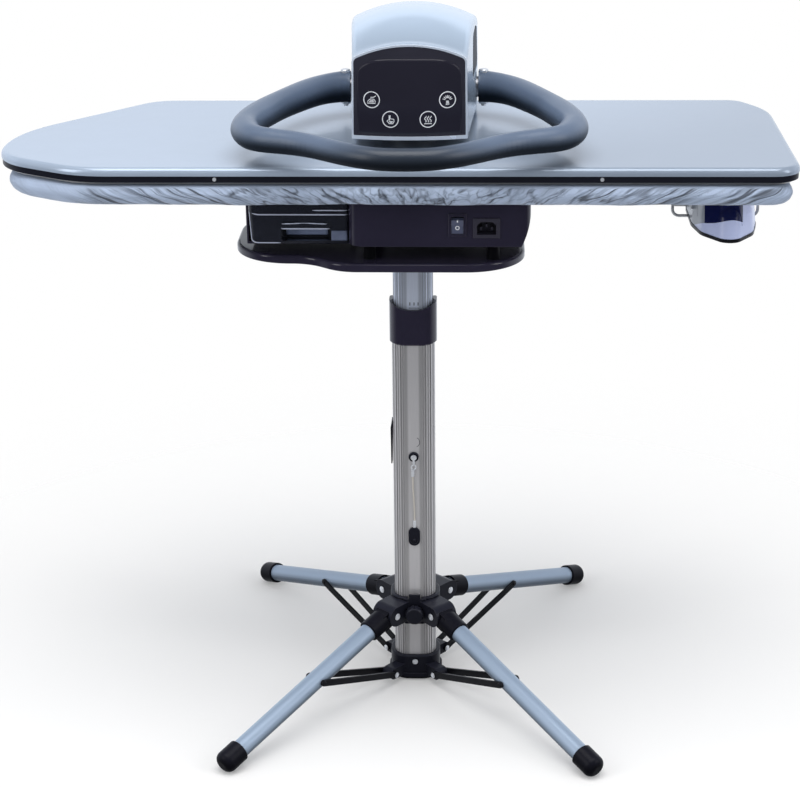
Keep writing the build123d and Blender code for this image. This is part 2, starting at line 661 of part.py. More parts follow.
def upper_hub():
    """The sliding hub: ears for the four legs, the knob's boss, and a channel past the lanyard."""
    hub = raised(oval(HUB_WALL), UPPER_HUB_BOTTOM, UPPER_HUB_TOP)
    hub = fillet(hub.edges().group_by(Axis.Z)[-1], 2.0)
    front = TUBE_FRONT - SLIDING_GAP - HUB_CHANNEL_DEPTH - HUB_FRONT_WALL
    shield_half = HUB_CHANNEL_WIDTH / 2 + 6
    shield = box_between(-shield_half, shield_half, front, 0, UPPER_HUB_BOTTOM - 4, UPPER_HUB_TOP)
    shield = fillet(shield.edges().filter_by(Axis.Z).group_by(Axis.Y)[0], 5.0)
    hub += shield
    tab_half = HUB_CHANNEL_WIDTH / 2 - 2
    hub += box_between(-tab_half, tab_half, front, front + HUB_FRONT_WALL, UPPER_HUB_TOP - 4, HUB_TAB_TOP)
    hub += rod_y(0, KNOB_Z, HUB_BOSS_RADIUS, front - HUB_BOSS_LENGTH, front + HUB_FRONT_WALL)
    for azimuth in leg_azimuths().values():
        plane = radial_plane(azimuth, LEG_PIVOT_RADIUS, LEG_PIVOT_Z)
        reach = LEG_PIVOT_RADIUS - TUBE_CORNER
        fork_face = Pos(-reach / 2, 0) * SlotCenterToCenter(reach, 2 * EAR_RADIUS)
        hub += extrude(plane * fork_face, LEG_TONGUE_HALF + SIDE_GAP + EAR_THICKNESS, both=True)
    hub -= raised(oval(SLIDING_GAP), UPPER_HUB_BOTTOM - 20, HUB_TAB_TOP + 1)
    channel_half = HUB_CHANNEL_WIDTH / 2
    hub -= box_between(-channel_half, channel_half, front + HUB_FRONT_WALL, 0, UPPER_HUB_BOTTOM - 20, HUB_TAB_TOP + 1)
    for azimuth in leg_azimuths().values():
        plane = radial_plane(azimuth, LEG_PIVOT_RADIUS, LEG_PIVOT_Z)
        hub -= extrude(plane * Circle(LEG_PIN_RADIUS + RUNNING_FIT), LEG_TONGUE_HALF + 20, both=True)
        hub -= extrude(plane * swing_room(), LEG_TONGUE_HALF + SIDE_GAP, both=True)
    hub -= rod_y(0, KNOB_Z, KNOB_SHANK_RADIUS + RUNNING_FIT, front - 20, front + HUB_FRONT_WALL - 1)
    hub -= rod_y(0, KNOB_Z, KNOB_RADIUS + KNOB_GAP, front - 40, front - HUB_BOSS_LENGTH)
    return hub


def swing_room():
    """The room in a fork, seen along the pivot, that a leg's tongue needs from spread to folded."""
    clear = LEG_TONGUE_HALF + SIDE_GAP
    reach = 3 * EAR_RADIUS
    spread = radians(LEG_SLOPE)
    folded = radians(LEG_SLOPE + LEG_FOLD_ANGLE)
    top_near = (clear * sin(spread), clear * cos(spread))
    top_far = (top_near[0] + reach * cos(spread), top_near[1] - reach * sin(spread))
    rear_near = (-clear * sin(folded), -clear * cos(folded))
    rear_far = (rear_near[0] + reach * cos(folded), rear_near[1] - reach * sin(folded))
    swept = Polyline(rear_near, rear_far, (top_far[0], rear_far[1]), top_far, top_near, close=True)
    return Circle(clear) + make_face(swept.edges())


def leg_pivot_pins():
    """The four pins that the legs turn on."""
    half = LEG_TONGUE_HALF + SIDE_GAP + EAR_THICKNESS
    pins = []
    for azimuth in leg_azimuths().values():
        plane = radial_plane(azimuth, LEG_PIVOT_RADIUS, LEG_PIVOT_Z)
        pins.append(headed_pin(plane, LEG_PIN_RADIUS, half))
    return pins


def hub_knob():
    """The knurled knob that clamps the sliding hub."""
    front = TUBE_FRONT - SLIDING_GAP - HUB_CHANNEL_DEPTH - HUB_FRONT_WALL
    seat = front - HUB_BOSS_LENGTH - SLIDING_GAP
    knob = rod_y(0, KNOB_Z, KNOB_RADIUS, seat - KNOB_LENGTH, seat - KNOB_NECK)
    knob = chamfer(knob.edges().group_by(Axis.Y)[0], 1.6)
    for index in range(KNOB_FLUTES):
        angle = 2 * pi * index / KNOB_FLUTES
        x = (KNOB_RADIUS + KNOB_FLUTE_RADIUS / 2) * cos(angle)
        z = KNOB_Z + (KNOB_RADIUS + KNOB_FLUTE_RADIUS / 2) * sin(angle)
        knob -= rod_y(x, z, KNOB_FLUTE_RADIUS, seat - KNOB_LENGTH - 1, seat)
    knob += rod_y(0, KNOB_Z, HUB_BOSS_RADIUS - 1, seat - KNOB_NECK, seat)
    knob += rod_y(0, KNOB_Z, KNOB_SHANK_RADIUS, seat, front + HUB_FRONT_WALL - 1.5)
    return knob


def platform_face(inset):
    """The machine plate's plan: a wide lobe on the right, a narrower one on the left."""
    step_height = PLATFORM_WIDE_HALF - PLATFORM_NARROW_HALF
    step_start = PLATFORM_STEP_X + step_height / tan(radians(PLATFORM_STEP_SLOPE))
    step_length = step_height / sin(radians(PLATFORM_STEP_SLOPE))
    step_radius = min(PLATFORM_STEP_RADIUS, 1.3 * step_length)
    corners = (
        (PLATFORM_RIGHT, -PLATFORM_WIDE_HALF),
        (PLATFORM_RIGHT, PLATFORM_WIDE_HALF),
        (step_start, PLATFORM_WIDE_HALF),
        (PLATFORM_STEP_X, PLATFORM_NARROW_HALF),
        (PLATFORM_LEFT, PLATFORM_NARROW_HALF),
        (PLATFORM_LEFT, -PLATFORM_NARROW_HALF),
        (PLATFORM_STEP_X, -PLATFORM_NARROW_HALF),
        (step_start, -PLATFORM_WIDE_HALF),
    )
    right_radii = [PLATFORM_RIGHT_RADIUS] * 2
    step_radii = [step_radius] * 2
    left_radii = [PLATFORM_LEFT_RADIUS] * 2
    face = closed_face(corners, right_radii + step_radii + left_radii + step_radii)
    return offset(face, -inset) if inset else face


def platform():
    """The machine plate with its rolled rim, and the spigot that fits in the inner tube."""
    plate = raised(platform_face(0), PLATFORM_BOTTOM, PLATFORM_TOP)
    plate = fillet(plate.edges().group_by(Axis.Z)[-1], PLATFORM_TOP_ROUND)
    plate = fillet(plate.edges().group_by(Axis.Z)[0], PLATFORM_FOOT_ROUND)
    top = PLATFORM_TOP - PLATFORM_SKIN
    plate -= raised(platform_face(PLATFORM_RIM), PLATFORM_BOTTOM - 1, top)
    spigot = oval(INNER_BORE_GROWTH - RUNNING_FIT) - oval(INNER_BORE_GROWTH - SPIGOT_WALL)
    plate += raised(spigot, top - SPIGOT_LENGTH, top)
    for angle in (0, 180):
        rib = box_between(TUBE_WIDTH / 2 + 8, PLATFORM_RIB_END, -PLATFORM_RIB_WIDTH / 2, PLATFORM_RIB_WIDTH / 2,
                          PLATFORM_BOTTOM + 2, top)
        plate += Rot(0, 0, angle) * rib
    return plate


def machine_feet():
    """Four rubber feet between the housing and the machine plate."""
    feet = []
    for x in MACHINE_FOOT_XS:
        for y in (-MACHINE_FOOT_Y, MACHINE_FOOT_Y):
            height = HOUSING_BOTTOM - PLATFORM_TOP
            foot = Cone(MACHINE_FOOT_RADIUS, MACHINE_FOOT_RADIUS - 1.5, height, align=(Align.CENTER, Align.CENTER, Align.MIN))
            feet.append(Pos(x, y, PLATFORM_TOP) * foot)
    return feet


def housing_block(inset):
    """The housing's main block, whose right flank curls in towards its bottom."""
    left = HOUSING_LEFT + inset
    right = HOUSING_RIGHT - inset
    half = HOUSING_HALF_DEPTH - inset
    bottom = HOUSING_BOTTOM + inset
    right_radius = HOUSING_RIGHT_CORNER - inset
    corners = ((right, -half), (right, half), (left, half), (left, -half))
    corner_radii = (right_radius, right_radius, HOUSING_REAR_LEFT_CORNER - inset, HOUSING_FRONT_LEFT_CORNER - inset)
    block = raised(closed_face(corners, corner_radii), bottom, BED_PLATE_BOTTOM)
    lean = atan2(HOUSING_DRAW_IN, HOUSING_CURL_HEIGHT) - radians(HOUSING_CURL_CREASE)
    curl_radius = sqrt(HOUSING_DRAW_IN ** 2 + HOUSING_CURL_HEIGHT ** 2) / (2 * sin(lean))
    curl_x = HOUSING_RIGHT - curl_radius * cos(radians(HOUSING_CURL_CREASE))
    curl_z = HOUSING_BOTTOM + HOUSING_CURL_HEIGHT + curl_radius * sin(radians(HOUSING_CURL_CREASE))
    roll = rod_y(curl_x, curl_z, curl_radius - inset, -HOUSING_HALF_DEPTH - 2, HOUSING_HALF_DEPTH + 2)
    beyond = box_between(curl_x, HOUSING_RIGHT + 1, -HOUSING_HALF_DEPTH - 1, HOUSING_HALF_DEPTH + 1,
                         HOUSING_BOTTOM - 1, curl_z)
    return block - (beyond - roll)


def base_housing():
    """The moulded housing: the electrics' box on the right and the tank's bay on the left."""
    housing = housing_block(0) - housing_block(HOUSING_WALL)
    bay_front = TANK_FRONT + BAY_SETBACK
    bay_left = TANK_LEFT - SLIDING_GAP - TRAY_THICKNESS
    bay_bottom = TANK_BOTTOM - SLIDING_GAP - TRAY_THICKNESS
    bay_rear = TANK_REAR + SLIDING_GAP + TRAY_THICKNESS
    bay = rounded_box(bay_left, HOUSING_LEFT + HOUSING_WALL, bay_front, bay_rear, bay_bottom, BED_PLATE_BOTTOM, 2.5)
    bay -= box_between(TANK_LEFT - SLIDING_GAP, HOUSING_LEFT, bay_front - 5, TANK_REAR + SLIDING_GAP,
                       TANK_BOTTOM - SLIDING_GAP, TANK_TOP + SLIDING_GAP)
    bay -= box_between(HOUSING_LEFT, HOUSING_LEFT + 20, bay_front - 5, bay_rear + 5, bay_bottom - 5, BED_PLATE_BOTTOM + 5)
    housing += bay
    front = -HOUSING_HALF_DEPTH
    housing -= box_between(ROCKER_X - ROCKER_CUTOUT_WIDTH / 2, ROCKER_X + ROCKER_CUTOUT_WIDTH / 2, front - 5, front + 5,
                           ROCKER_Z - ROCKER_CUTOUT_HEIGHT / 2, ROCKER_Z + ROCKER_CUTOUT_HEIGHT / 2)
    inlet_half = INLET_MOUTH_WIDTH / 2 + 1.6
    inlet_rise = INLET_MOUTH_HEIGHT / 2 + 1.6
    housing -= box_between(INLET_X - inlet_half, INLET_X + inlet_half, front - 5, front + 5,
                           INLET_Z - inlet_rise, INLET_Z + inlet_rise)
    rear_left, rear_right, rear_bottom, rear_top = rear_opening()
    housing -= box_between(rear_left, rear_right, HOUSING_HALF_DEPTH - 5, HOUSING_HALF_DEPTH + 5, rear_bottom, rear_top)
    return housing


def rear_opening():
    """The service opening in the housing's rear wall: left, right, bottom and top."""
    bottom = HOUSING_BOTTOM + REAR_OPENING_MARGIN
    top = BED_PLATE_BOTTOM - REAR_OPENING_MARGIN
    return REAR_OPENING_LEFT, REAR_OPENING_RIGHT, bottom, top


def rear_cover():
    """The screwed cover over the service opening, with its vent slots and four screws."""
    left, right, bottom, top = rear_opening()
    y0 = HOUSING_HALF_DEPTH
    y1 = y0 + REAR_COVER_THICKNESS
    width = right - left + 2 * REAR_COVER_LAP
    height = top - bottom + 2 * REAR_COVER_LAP
    outline = Pos((left + right) / 2, (bottom + top) / 2) * RectangleRounded(width, height, 5)
    plate = Pos(0, y1, 0) * extrude(Plane.XZ * outline, REAR_COVER_THICKNESS)
    pitch = (right - left - 30) / (REAR_VENT_COUNT - 1)
    for index in range(REAR_VENT_COUNT):
        x = left + 15 + pitch * index
        plate -= box_between(x - 1.6, x + 1.6, y0 - 1, y1 + 1, bottom + 8, top - 8)
    for x in (left - REAR_COVER_LAP / 2, right + REAR_COVER_LAP / 2):
        for z in (bottom + 4, top - 4):
            plate += rod_y(x, z, 2.6, y1, y1 + 1.4)
    return plate


def switch_frame():
    """The rocker switch's snap-in frame with its body behind the wall."""
    front = -HOUSING_HALF_DEPTH
    body_width = ROCKER_CUTOUT_WIDTH - 2 * RUNNING_FIT
    body_height = ROCKER_CUTOUT_HEIGHT - 2 * RUNNING_FIT
    frame = box_between(ROCKER_X - ROCKER_FRAME_WIDTH / 2, ROCKER_X + ROCKER_FRAME_WIDTH / 2, front - FRAME_PROUD, front,
                        ROCKER_Z - ROCKER_FRAME_HEIGHT / 2, ROCKER_Z + ROCKER_FRAME_HEIGHT / 2)
    frame = chamfer(frame.edges().group_by(Axis.Y)[0], 0.7)
    frame += box_between(ROCKER_X - body_width / 2, ROCKER_X + body_width / 2, front, front + ROCKER_DEPTH + 6,
                         ROCKER_Z - body_height / 2, ROCKER_Z + body_height / 2)
    frame -= box_between(ROCKER_X - body_width / 2 + 1.5, ROCKER_X + body_width / 2 - 1.5, front - 5, front + ROCKER_DEPTH,
                         ROCKER_Z - body_height / 2 + 1.2, ROCKER_Z + body_height / 2 - 1.2)
    return frame


ROCKER_PIVOT_Y = -HOUSING_HALF_DEPTH + 6.0


def rocker_switch():
    """The rocker with its dished face, tipped so that its lower end is pressed in."""
    width = ROCKER_CUTOUT_WIDTH - 2 * RUNNING_FIT - 3.0 - 2 * SLIDING_GAP
    half = ROCKER_CUTOUT_HEIGHT / 2 - 3.2
    drop = 6.0 + FRAME_PROUD
    profile = Polyline((-half, drop + 1.2), (0, drop - 0.6), (half, drop + 1.2), (half, 1.0), (3, -5), (-3, -5),
                       (-half, 1.0), close=True)
    rocker = extrude(make_face(profile.edges()), width / 2, both=True)
    rocker = Plane(origin=(ROCKER_X, ROCKER_PIVOT_Y, ROCKER_Z), x_dir=(0, 0, 1), z_dir=(1, 0, 0)).location * rocker
    tilt = Axis((ROCKER_X, ROCKER_PIVOT_Y, ROCKER_Z), (1, 0, 0))
    axle = rod_x(ROCKER_PIVOT_Y, ROCKER_Z, 1.4, ROCKER_X - width / 2 - SLIDING_GAP + 0.05, ROCKER_X + width / 2 + SLIDING_GAP - 0.05)
    return rocker.rotate(tilt, ROCKER_TILT) + axle


def mains_inlet():
    """The three-pin appliance inlet with its cut-cornered mouth."""
    front = -HOUSING_HALF_DEPTH
    flange = box_between(INLET_X - INLET_FRAME_WIDTH / 2, INLET_X + INLET_FRAME_WIDTH / 2, front - FRAME_PROUD, front,
                         INLET_Z - INLET_FRAME_HEIGHT / 2, INLET_Z + INLET_FRAME_HEIGHT / 2)
    flange = chamfer(flange.edges().group_by(Axis.Y)[0], 0.6)
    shell_half = INLET_MOUTH_WIDTH / 2 + 1.6 - RUNNING_FIT
    shell_rise = INLET_MOUTH_HEIGHT / 2 + 1.6 - RUNNING_FIT
    flange += box_between(INLET_X - shell_half, INLET_X + shell_half, front, front + INLET_DEPTH,
                          INLET_Z - shell_rise, INLET_Z + shell_rise)
    half = INLET_MOUTH_WIDTH / 2
    rise = INLET_MOUTH_HEIGHT / 2
    cut = 4.5
    mouth_line = Polyline((-half, -rise), (half, -rise), (half, rise - cut), (half - cut, rise), (cut - half, rise),
                          (-half, rise - cut), close=True)
    mouth = extrude(Plane.XZ * make_face(mouth_line.edges()), 18)
    flange -= Pos(INLET_X, front + 16, INLET_Z) * mouth
    for x, z in ((-7.0, -1.6), (7.0, -1.6), (0.0, 2.4)):
        flange += box_between(INLET_X + x - 1.0, INLET_X + x + 1.0, front + 3, front + 17, INLET_Z + z - 2.0, INLET_Z + z + 2.0)
    return flange


def tank_plan(draft, proud):
    """The tank's plan: round on its left, nearly square where it meets the housing."""
    left = TANK_LEFT + draft
    front = TANK_FRONT - proud
    corners = ((TANK_RIGHT, front), (TANK_RIGHT, TANK_REAR), (left, TANK_REAR), (left, front))
    return closed_face(corners, (TANK_RIGHT_CORNER, TANK_RIGHT_CORNER, TANK_LEFT_CORNER, TANK_LEFT_CORNER))


def water_tank():
    """The water drawer: the smoky tank with its finger pull, and the lid over it."""
    foot = Pos(0, 0, TANK_BOTTOM) * tank_plan(TANK_DRAFT, 0)
    rim = Pos(0, 0, TANK_SEAM) * tank_plan(0, 0)
    tank = loft([foot, rim], ruled=True)
    tank = fillet(tank.edges().group_by(Axis.Z)[0], 2.5)
    tank -= rounded_box(TANK_LEFT + TANK_DRAFT + TANK_WALL, TANK_RIGHT - TANK_WALL,
                        TANK_FRONT + PULL_DEPTH + 2 * TANK_WALL, TANK_REAR - TANK_WALL,
                        TANK_BOTTOM + TANK_WALL, TANK_SEAM + 1, TANK_RIGHT_CORNER)
    pull = box_between(PULL_LEFT, PULL_RIGHT, TANK_FRONT - 5, TANK_FRONT + PULL_DEPTH, PULL_BOTTOM, PULL_TOP)
    pull = fillet(pull.edges().filter_by(Axis.Y), 3.0)
    tank -= pull
    bar_top = PULL_TOP + PULL_BAR + 2
    bar = box_between(PULL_LEFT + 1, PULL_RIGHT - 1, TANK_FRONT - 2.0, TANK_FRONT + 1, PULL_TOP, bar_top)
    bar = fillet(bar.edges().filter_by(Axis.X).group_by(Axis.Y)[0], 1.4)
    tank += bar
    lid = raised(tank_plan(0, TANK_LID_PROUD), TANK_SEAM, TANK_TOP)
    lid = fillet(lid.edges().group_by(Axis.Z)[-1], 1.5)
    lid -= rounded_box(TANK_LEFT + TANK_WALL, TANK_RIGHT - TANK_WALL, TANK_FRONT + TANK_WALL, TANK_REAR - TANK_WALL,
                       TANK_SEAM - 1, TANK_TOP - TANK_WALL, 8)
    return [tank, lid]


def pump():
    """The solenoid pump on its bracket, with its inlet and outlet spigots."""
    floor = HOUSING_BOTTOM + HOUSING_WALL
    axis_z = floor + 26
    body = rod_x(40, axis_z, 15, -40, 10)
    coil = box_between(-30, 0, 20, 60, axis_z - 20, axis_z + 18)
    spigots = rod_x(40, axis_z, 4, -56, 26)
    bracket = box_between(-34, 4, 14, 66, floor, axis_z - 19)
    return [body + coil + spigots, bracket]


def circuit_board():
    """The control board on four pillars, with a relay, a heatsink and its terminal block."""
    floor = HOUSING_BOTTOM + HOUSING_WALL
    board_z = floor + 8
    board = box_between(20, 120, -60, 0, board_z, board_z + 1.6)
    for x in (25, 115):
        for y in (-55, -5):
            board += rod_z(x, y, 3.0, floor, board_z)
    board += box_between(30, 48, -50, -38, board_z + 1.6, board_z + 17)
    board += box_between(90, 112, -30, -22, board_z + 1.6, board_z + 22)
    board += box_between(58, 82, -16, -6, board_z + 1.6, board_z + 12)
    return board


def board_face(left, right, front, rear, share, inset):
    """The board's plan: pointed on the left, nearly square on the right."""
    corners = (
        (left + NOSE_FRONT_RUN, front),
        (left, front + NOSE_FRONT_RISE),
        (left, rear - NOSE_REAR_DROP),
        (left + NOSE_REAR_RUN, rear),
        (right - TAIL_REAR_RUN, rear),
        (right, rear - TAIL_REAR_DROP),
        (right, front),
    )
    face = closed_face(corners, [share * radius for radius in PLAN_RADII])
    return offset(face, -inset) if inset else face


def platen_face(inset):
    """The platen's plan, drawn in by a distance."""
    return board_face(PLATEN_LEFT, PLATEN_RIGHT, PLATEN_FRONT, PLATEN_REAR, 1.0, inset)


def bed_face(inset):
    """The fitted cover's plan, drawn in by a distance."""
    return board_face(BED_LEFT, BED_RIGHT, BED_FRONT, BED_REAR, BED_RADIUS_SHARE, inset)


def bed_frame():
    """The pressed bed plate with stiffening flanges each side of the housing."""
    plate = raised(bed_face(BED_PLATE_INSET), BED_PLATE_BOTTOM, BED_PLATE_TOP)
    flange_bottom = BED_PLATE_BOTTOM - BED_FLANGE_HEIGHT
    for x0, x1 in ((BED_LEFT + 98, TANK_LEFT - 20), (HOUSING_RIGHT + 20, CRADLE_LEFT - 30)):
        for y in (-60, 90):
            plate += box_between(x0, x1, y, y + BED_FLANGE_THICKNESS, flange_bottom, BED_PLATE_BOTTOM)
    return plate


def bed_pad():
    """The felt pad on the bed plate."""
    return raised(bed_face(COVER_THICKNESS + PAD_GAP), BED_PLATE_TOP, BED_PAD_TOP)


def bed_cover():
    """The fitted cover: a crowned top, sides that swell over the pad and a hem drawn in below."""
    levels = ((COVER_HEM_Z, 9.0), (COVER_BULGE_Z - 6, 2.0), (COVER_BULGE_Z, 0.0), (COVER_SHOULDER_Z, 3.0), (COVER_TOP, 11.0))
    sections = [Pos(0, 0, z) * bed_face(inset) for z, inset in levels]
    cover = loft(sections)
    cover -= raised(bed_face(COVER_THICKNESS), COVER_HEM_Z - 1, BED_PAD_TOP)
    return cover


def platen_shell():
    """The platen's top shell, rounded over at its edge and hollow below."""
    shell = raised(platen_face(0), BAND_TOP, PLATEN_TOP)
    shell = fillet(shell.edges().group_by(Axis.Z)[-1], PLATEN_EDGE_RADIUS)
    shell -= raised(platen_face(PLATEN_EDGE_RADIUS), BAND_TOP - 1, PLATEN_TOP - PLATEN_WALL)
    return shell


def platen_band():
    """The heat-proof band round the platen."""
    return raised(platen_face(BAND_INSET) - platen_face(BAND_INSET + BAND_WIDTH), BAND_BOTTOM, BAND_TOP)


def heating_plate():
    """The cast heating plate with the studs that hang it in the shell."""
    inset = BAND_INSET + BAND_WIDTH + HEATING_PLATE_GAP
    top = PLATEN_BOTTOM + HEATING_PLATE_THICKNESS
    plate = raised(platen_face(inset), PLATEN_BOTTOM, top)
    for x in PLATEN_STUD_XS:
        for y in PLATEN_STUD_YS:
            plate += rod_z(x, y, PLATEN_STUD_RADIUS, top, PLATEN_TOP - PLATEN_WALL)
    return plate


def heating_element():
    """The sheathed element that loops once round the heating plate, with its two risers."""
    z = PLATEN_BOTTOM + HEATING_PLATE_THICKNESS + ELEMENT_RADIUS
    left = PLATEN_LEFT + 2 * ELEMENT_INSET + 40
    right = PLATEN_RIGHT - ELEMENT_INSET
    front = PLATEN_FRONT + ELEMENT_INSET - 8
    rear = PLATEN_REAR - ELEMENT_INSET + 8
    points = ((40, 26, z), (40, rear, z), (right, rear, z), (right, front, z), (left, front, z), (left, rear, z),
              (-40, rear, z), (-40, 26, z))
    path = FilletPolyline(*points, radius=26.0)
    start = Plane(origin=path @ 0, z_dir=path % 0)
    return sweep(start * Circle(ELEMENT_RADIUS), path=path)


def shell_screws():
    """The small screws that hold the band to the shell, two in front and two behind."""
    screws = []
    z = (BAND_BOTTOM + BAND_TOP) / 2
    for x in (-SHELL_SCREW_X, SHELL_SCREW_X):
        front = PLATEN_FRONT + BAND_INSET
        rear = PLATEN_REAR - BAND_INSET
        screws.append(rod_y(x, z, SHELL_SCREW_RADIUS, front - 0.8, front))
        screws.append(rod_y(x, z, SHELL_SCREW_RADIUS, rear, rear + 0.8))
    return screws


def head_section(half_width, height, bottom, shoulder):
    """The head's section: leaning flanks, small shoulders and a gently arched crown."""
    rise = tan(radians(CROWN_ANGLE))
    top_half = half_width - FLANK_LEAN * height
    arch_radius = CROWN_ARC_SHARE * top_half / sin(radians(CROWN_ANGLE))
    arch_loss = arch_radius * (1 / cos(radians(CROWN_ANGLE)) - 1)
    apex = height + arch_loss
    eaves = apex - top_half * rise
    bottom_half = half_width - FLANK_LEAN * bottom
    corners = ((-bottom_half, bottom), (bottom_half, bottom), (top_half, eaves), (0, apex), (-top_half, eaves))
    return closed_face(corners, (1.0, 1.0, shoulder, arch_radius, shoulder))


def station_plane(station):
    """A station's own frame: x to the right, y up the head, z forwards."""
    y, z, tilt, height, half_width = station
    forwards = Vector(0, -cos(radians(tilt)), sin(radians(tilt)))
    return Plane(origin=Vector(0, y, z), x_dir=(1, 0, 0), z_dir=forwards)


def arm_section(station, side_inset, top_inset, drop):
    """One station of the arm as a face across its line of travel."""
    y, z, tilt, height, half_width = station
    shoulder = SHOULDER_RADIUS - min(side_inset, 4.0)
    face = head_section(half_width - side_inset, height - top_inset, -drop, shoulder)
    return station_plane(station) * face


def arm_body(side_inset, top_inset, drop):
    """The arm as one smooth body from the head's face to the hinge."""
    return loft([arm_section(station, side_inset, top_inset, drop) for station in ARM_STATIONS])


def inlay_plane(side):
    """The plane of a flank's inlay: upright, following the flank's flare and its lean."""
    flare = atan2(ARM_STATIONS[3][4] - ARM_STATIONS[1][4], ARM_STATIONS[3][0] - ARM_STATIONS[1][0])
    rise = INLAY_MIDDLE_Z - HEAD_BOTTOM
    share = (INLAY_MIDDLE_Y - ARM_STATIONS[1][0]) / (ARM_STATIONS[3][0] - ARM_STATIONS[1][0])
    width = ARM_STATIONS[1][4] + share * (ARM_STATIONS[3][4] - ARM_STATIONS[1][4])
    x = side * (width - FLANK_LEAN * rise)
    along = Vector(side * sin(flare), cos(flare), 0)
    normal = Vector(side * cos(flare), -sin(flare), FLANK_LEAN)
    return Plane(origin=(x, INLAY_MIDDLE_Y, INLAY_MIDDLE_Z), x_dir=along, z_dir=normal)


def inlay(side, growth, low, high):
    """A flank's leaf-shaped inlay, from one depth below the flank to another."""
    lower = -INLAY_HEIGHT / 2 - growth
    upper = INLAY_HEIGHT / 2 + growth
    long_half = INLAY_LENGTH / 2 + growth
    short_half = long_half - 12
    corners = ((-long_half, lower), (long_half, lower), (short_half, upper - 10), (0, upper), (-short_half, upper - 4))
    if side < 0:
        corners = tuple((x, -y) for x, y in corners)
    face = closed_face(corners, (8.0, 8.0, 14.0, 24.0, 14.0))
    plane = inlay_plane(side)
    return extrude(Pos(plane.z_dir * low) * (plane * face), high - low, dir=plane.z_dir)


def arm_cover():
    """The arm's moulded cover, open below and in front, with recesses for its two inlays."""
    open_below = 20.0
    cover = arm_body(0, 0, 0) + head_nose(0, 0, 0, 0)
    cover -= arm_body(FLANK_WALL, HEAD_WALL, open_below)
    cover -= extrude(arm_section(ARM_STATIONS[0], FLANK_WALL, HEAD_WALL, open_below), 2 * face_bulge())
    for side in (-1, 1):
        cover -= inlay(side, INLAY_GAP, -INLAY_DEPTH - INLAY_THICKNESS, 30)
    bottom_station = ARM_STATIONS[-1]
    cover -= box_between(-half_at_hinge(), half_at_hinge(), bottom_station[0] - 60, bottom_station[0] + 50,
                         bottom_station[1] - 30, bottom_station[1] + 6)
    cover -= rod_x(SHAFT_Y, SHAFT_Z, SHAFT_RADIUS + SLIDING_GAP, -120, 120)
    return cover


def half_at_hinge():
    """Half of the cover's inside width at the hinge."""
    return ARM_STATIONS[-1][4] - FLANK_WALL


def side_panels():
    """The dark inlays in the arm's two flanks."""
    return [inlay(side, 0, -INLAY_DEPTH - INLAY_THICKNESS, -INLAY_DEPTH) for side in (-1, 1)]


def face_bulge():
    """How far the middle of the head's convex face stands in front of its first station."""
    half_width = ARM_STATIONS[0][4]
    return FACE_RADIUS - sqrt(FACE_RADIUS ** 2 - half_width ** 2) + FACE_MARGIN


def face_barrel(depth):
    """The round of the head's face as a whole barrel, grown forwards by a depth."""
    barrel = Rot(90, 0, 0) * Cylinder(FACE_RADIUS + depth, 2 * FACE_RADIUS)
    return station_plane(ARM_STATIONS[0]).location * Pos(0, 0, face_bulge() - FACE_RADIUS) * barrel


def head_nose(depth, side_inset, top_inset, sill):
    """The head's front from its first station to a depth in front of the cover's round face."""
    face = arm_section(ARM_STATIONS[0], side_inset, top_inset, -sill)
    block = extrude(face, face_bulge() + BEZEL_DEPTH + 5)
    return block & face_barrel(depth)


def panel_trim():
    """The bright bezel round the control panel, curved with the face."""
    outer = head_nose(BEZEL_DEPTH, 0, 0, 0) - face_barrel(0)
    return outer - head_nose(BEZEL_DEPTH + 1, BEZEL_WIDTH, BEZEL_WIDTH, BEZEL_SILL)


def control_panel():
    """The touch panel inside its bezel, curved with the face."""
    gap = BEZEL_WIDTH + RUNNING_FIT
    return head_nose(PANEL_BACKSET + PANEL_DEPTH, gap, gap, BEZEL_SILL + RUNNING_FIT) - face_barrel(PANEL_BACKSET)


def arm_frame_outline():
    """One steel side plate of the arm's frame, seen from the side."""
    corners = ((-40, 806), (212, 806), (246, 780), (HINGE_Y - 14, HINGE_Z - 10), (HINGE_Y + 13, HINGE_Z - 13),
               (HINGE_Y + 13, HINGE_Z + 40), (262, 800), (200, 856), (-10, 856), (-40, 840))
    return closed_face(corners, (6.0, 30.0, 20.0, 10.0, 10.0, 12.0, 30.0, 30.0, 12.0, 8.0))


def arm_frame():
    """The arm's steel frame: two side plates, their cross plates and the block over the platen's post."""
    inner = FRAME_PLATE_INNER
    thick = FRAME_PLATE_THICKNESS
    plate = extrude(Plane.YZ * arm_frame_outline(), thick)
    frame = Pos(inner, 0, 0) * plate + Pos(-inner - thick, 0, 0) * plate
    frame += box_between(-inner, inner, -36, -30, 812, 838)
    frame += box_between(-inner, inner, 4, 56, HEAD_BOTTOM + 6, HEAD_BOTTOM + 14)
    frame += box_between(-inner, inner, 190, 196, 812, 850)
    frame -= rod_x(SHAFT_Y, SHAFT_Z, SHAFT_RADIUS + SLIDING_GAP, -120, 120)
    frame -= rod_x(HINGE_Y, HINGE_Z, HINGE_PIN_RADIUS + RUNNING_FIT, -120, 120)
    tie_half = ARM_STATIONS[1][4] - FLANK_WALL - 2
    for y in (20, 60):
        tie = box_between(-tie_half, -inner - thick, y - 5, y + 5, 808, 820)
        frame += tie
        frame += mirror(tie, Plane.YZ)
    return frame


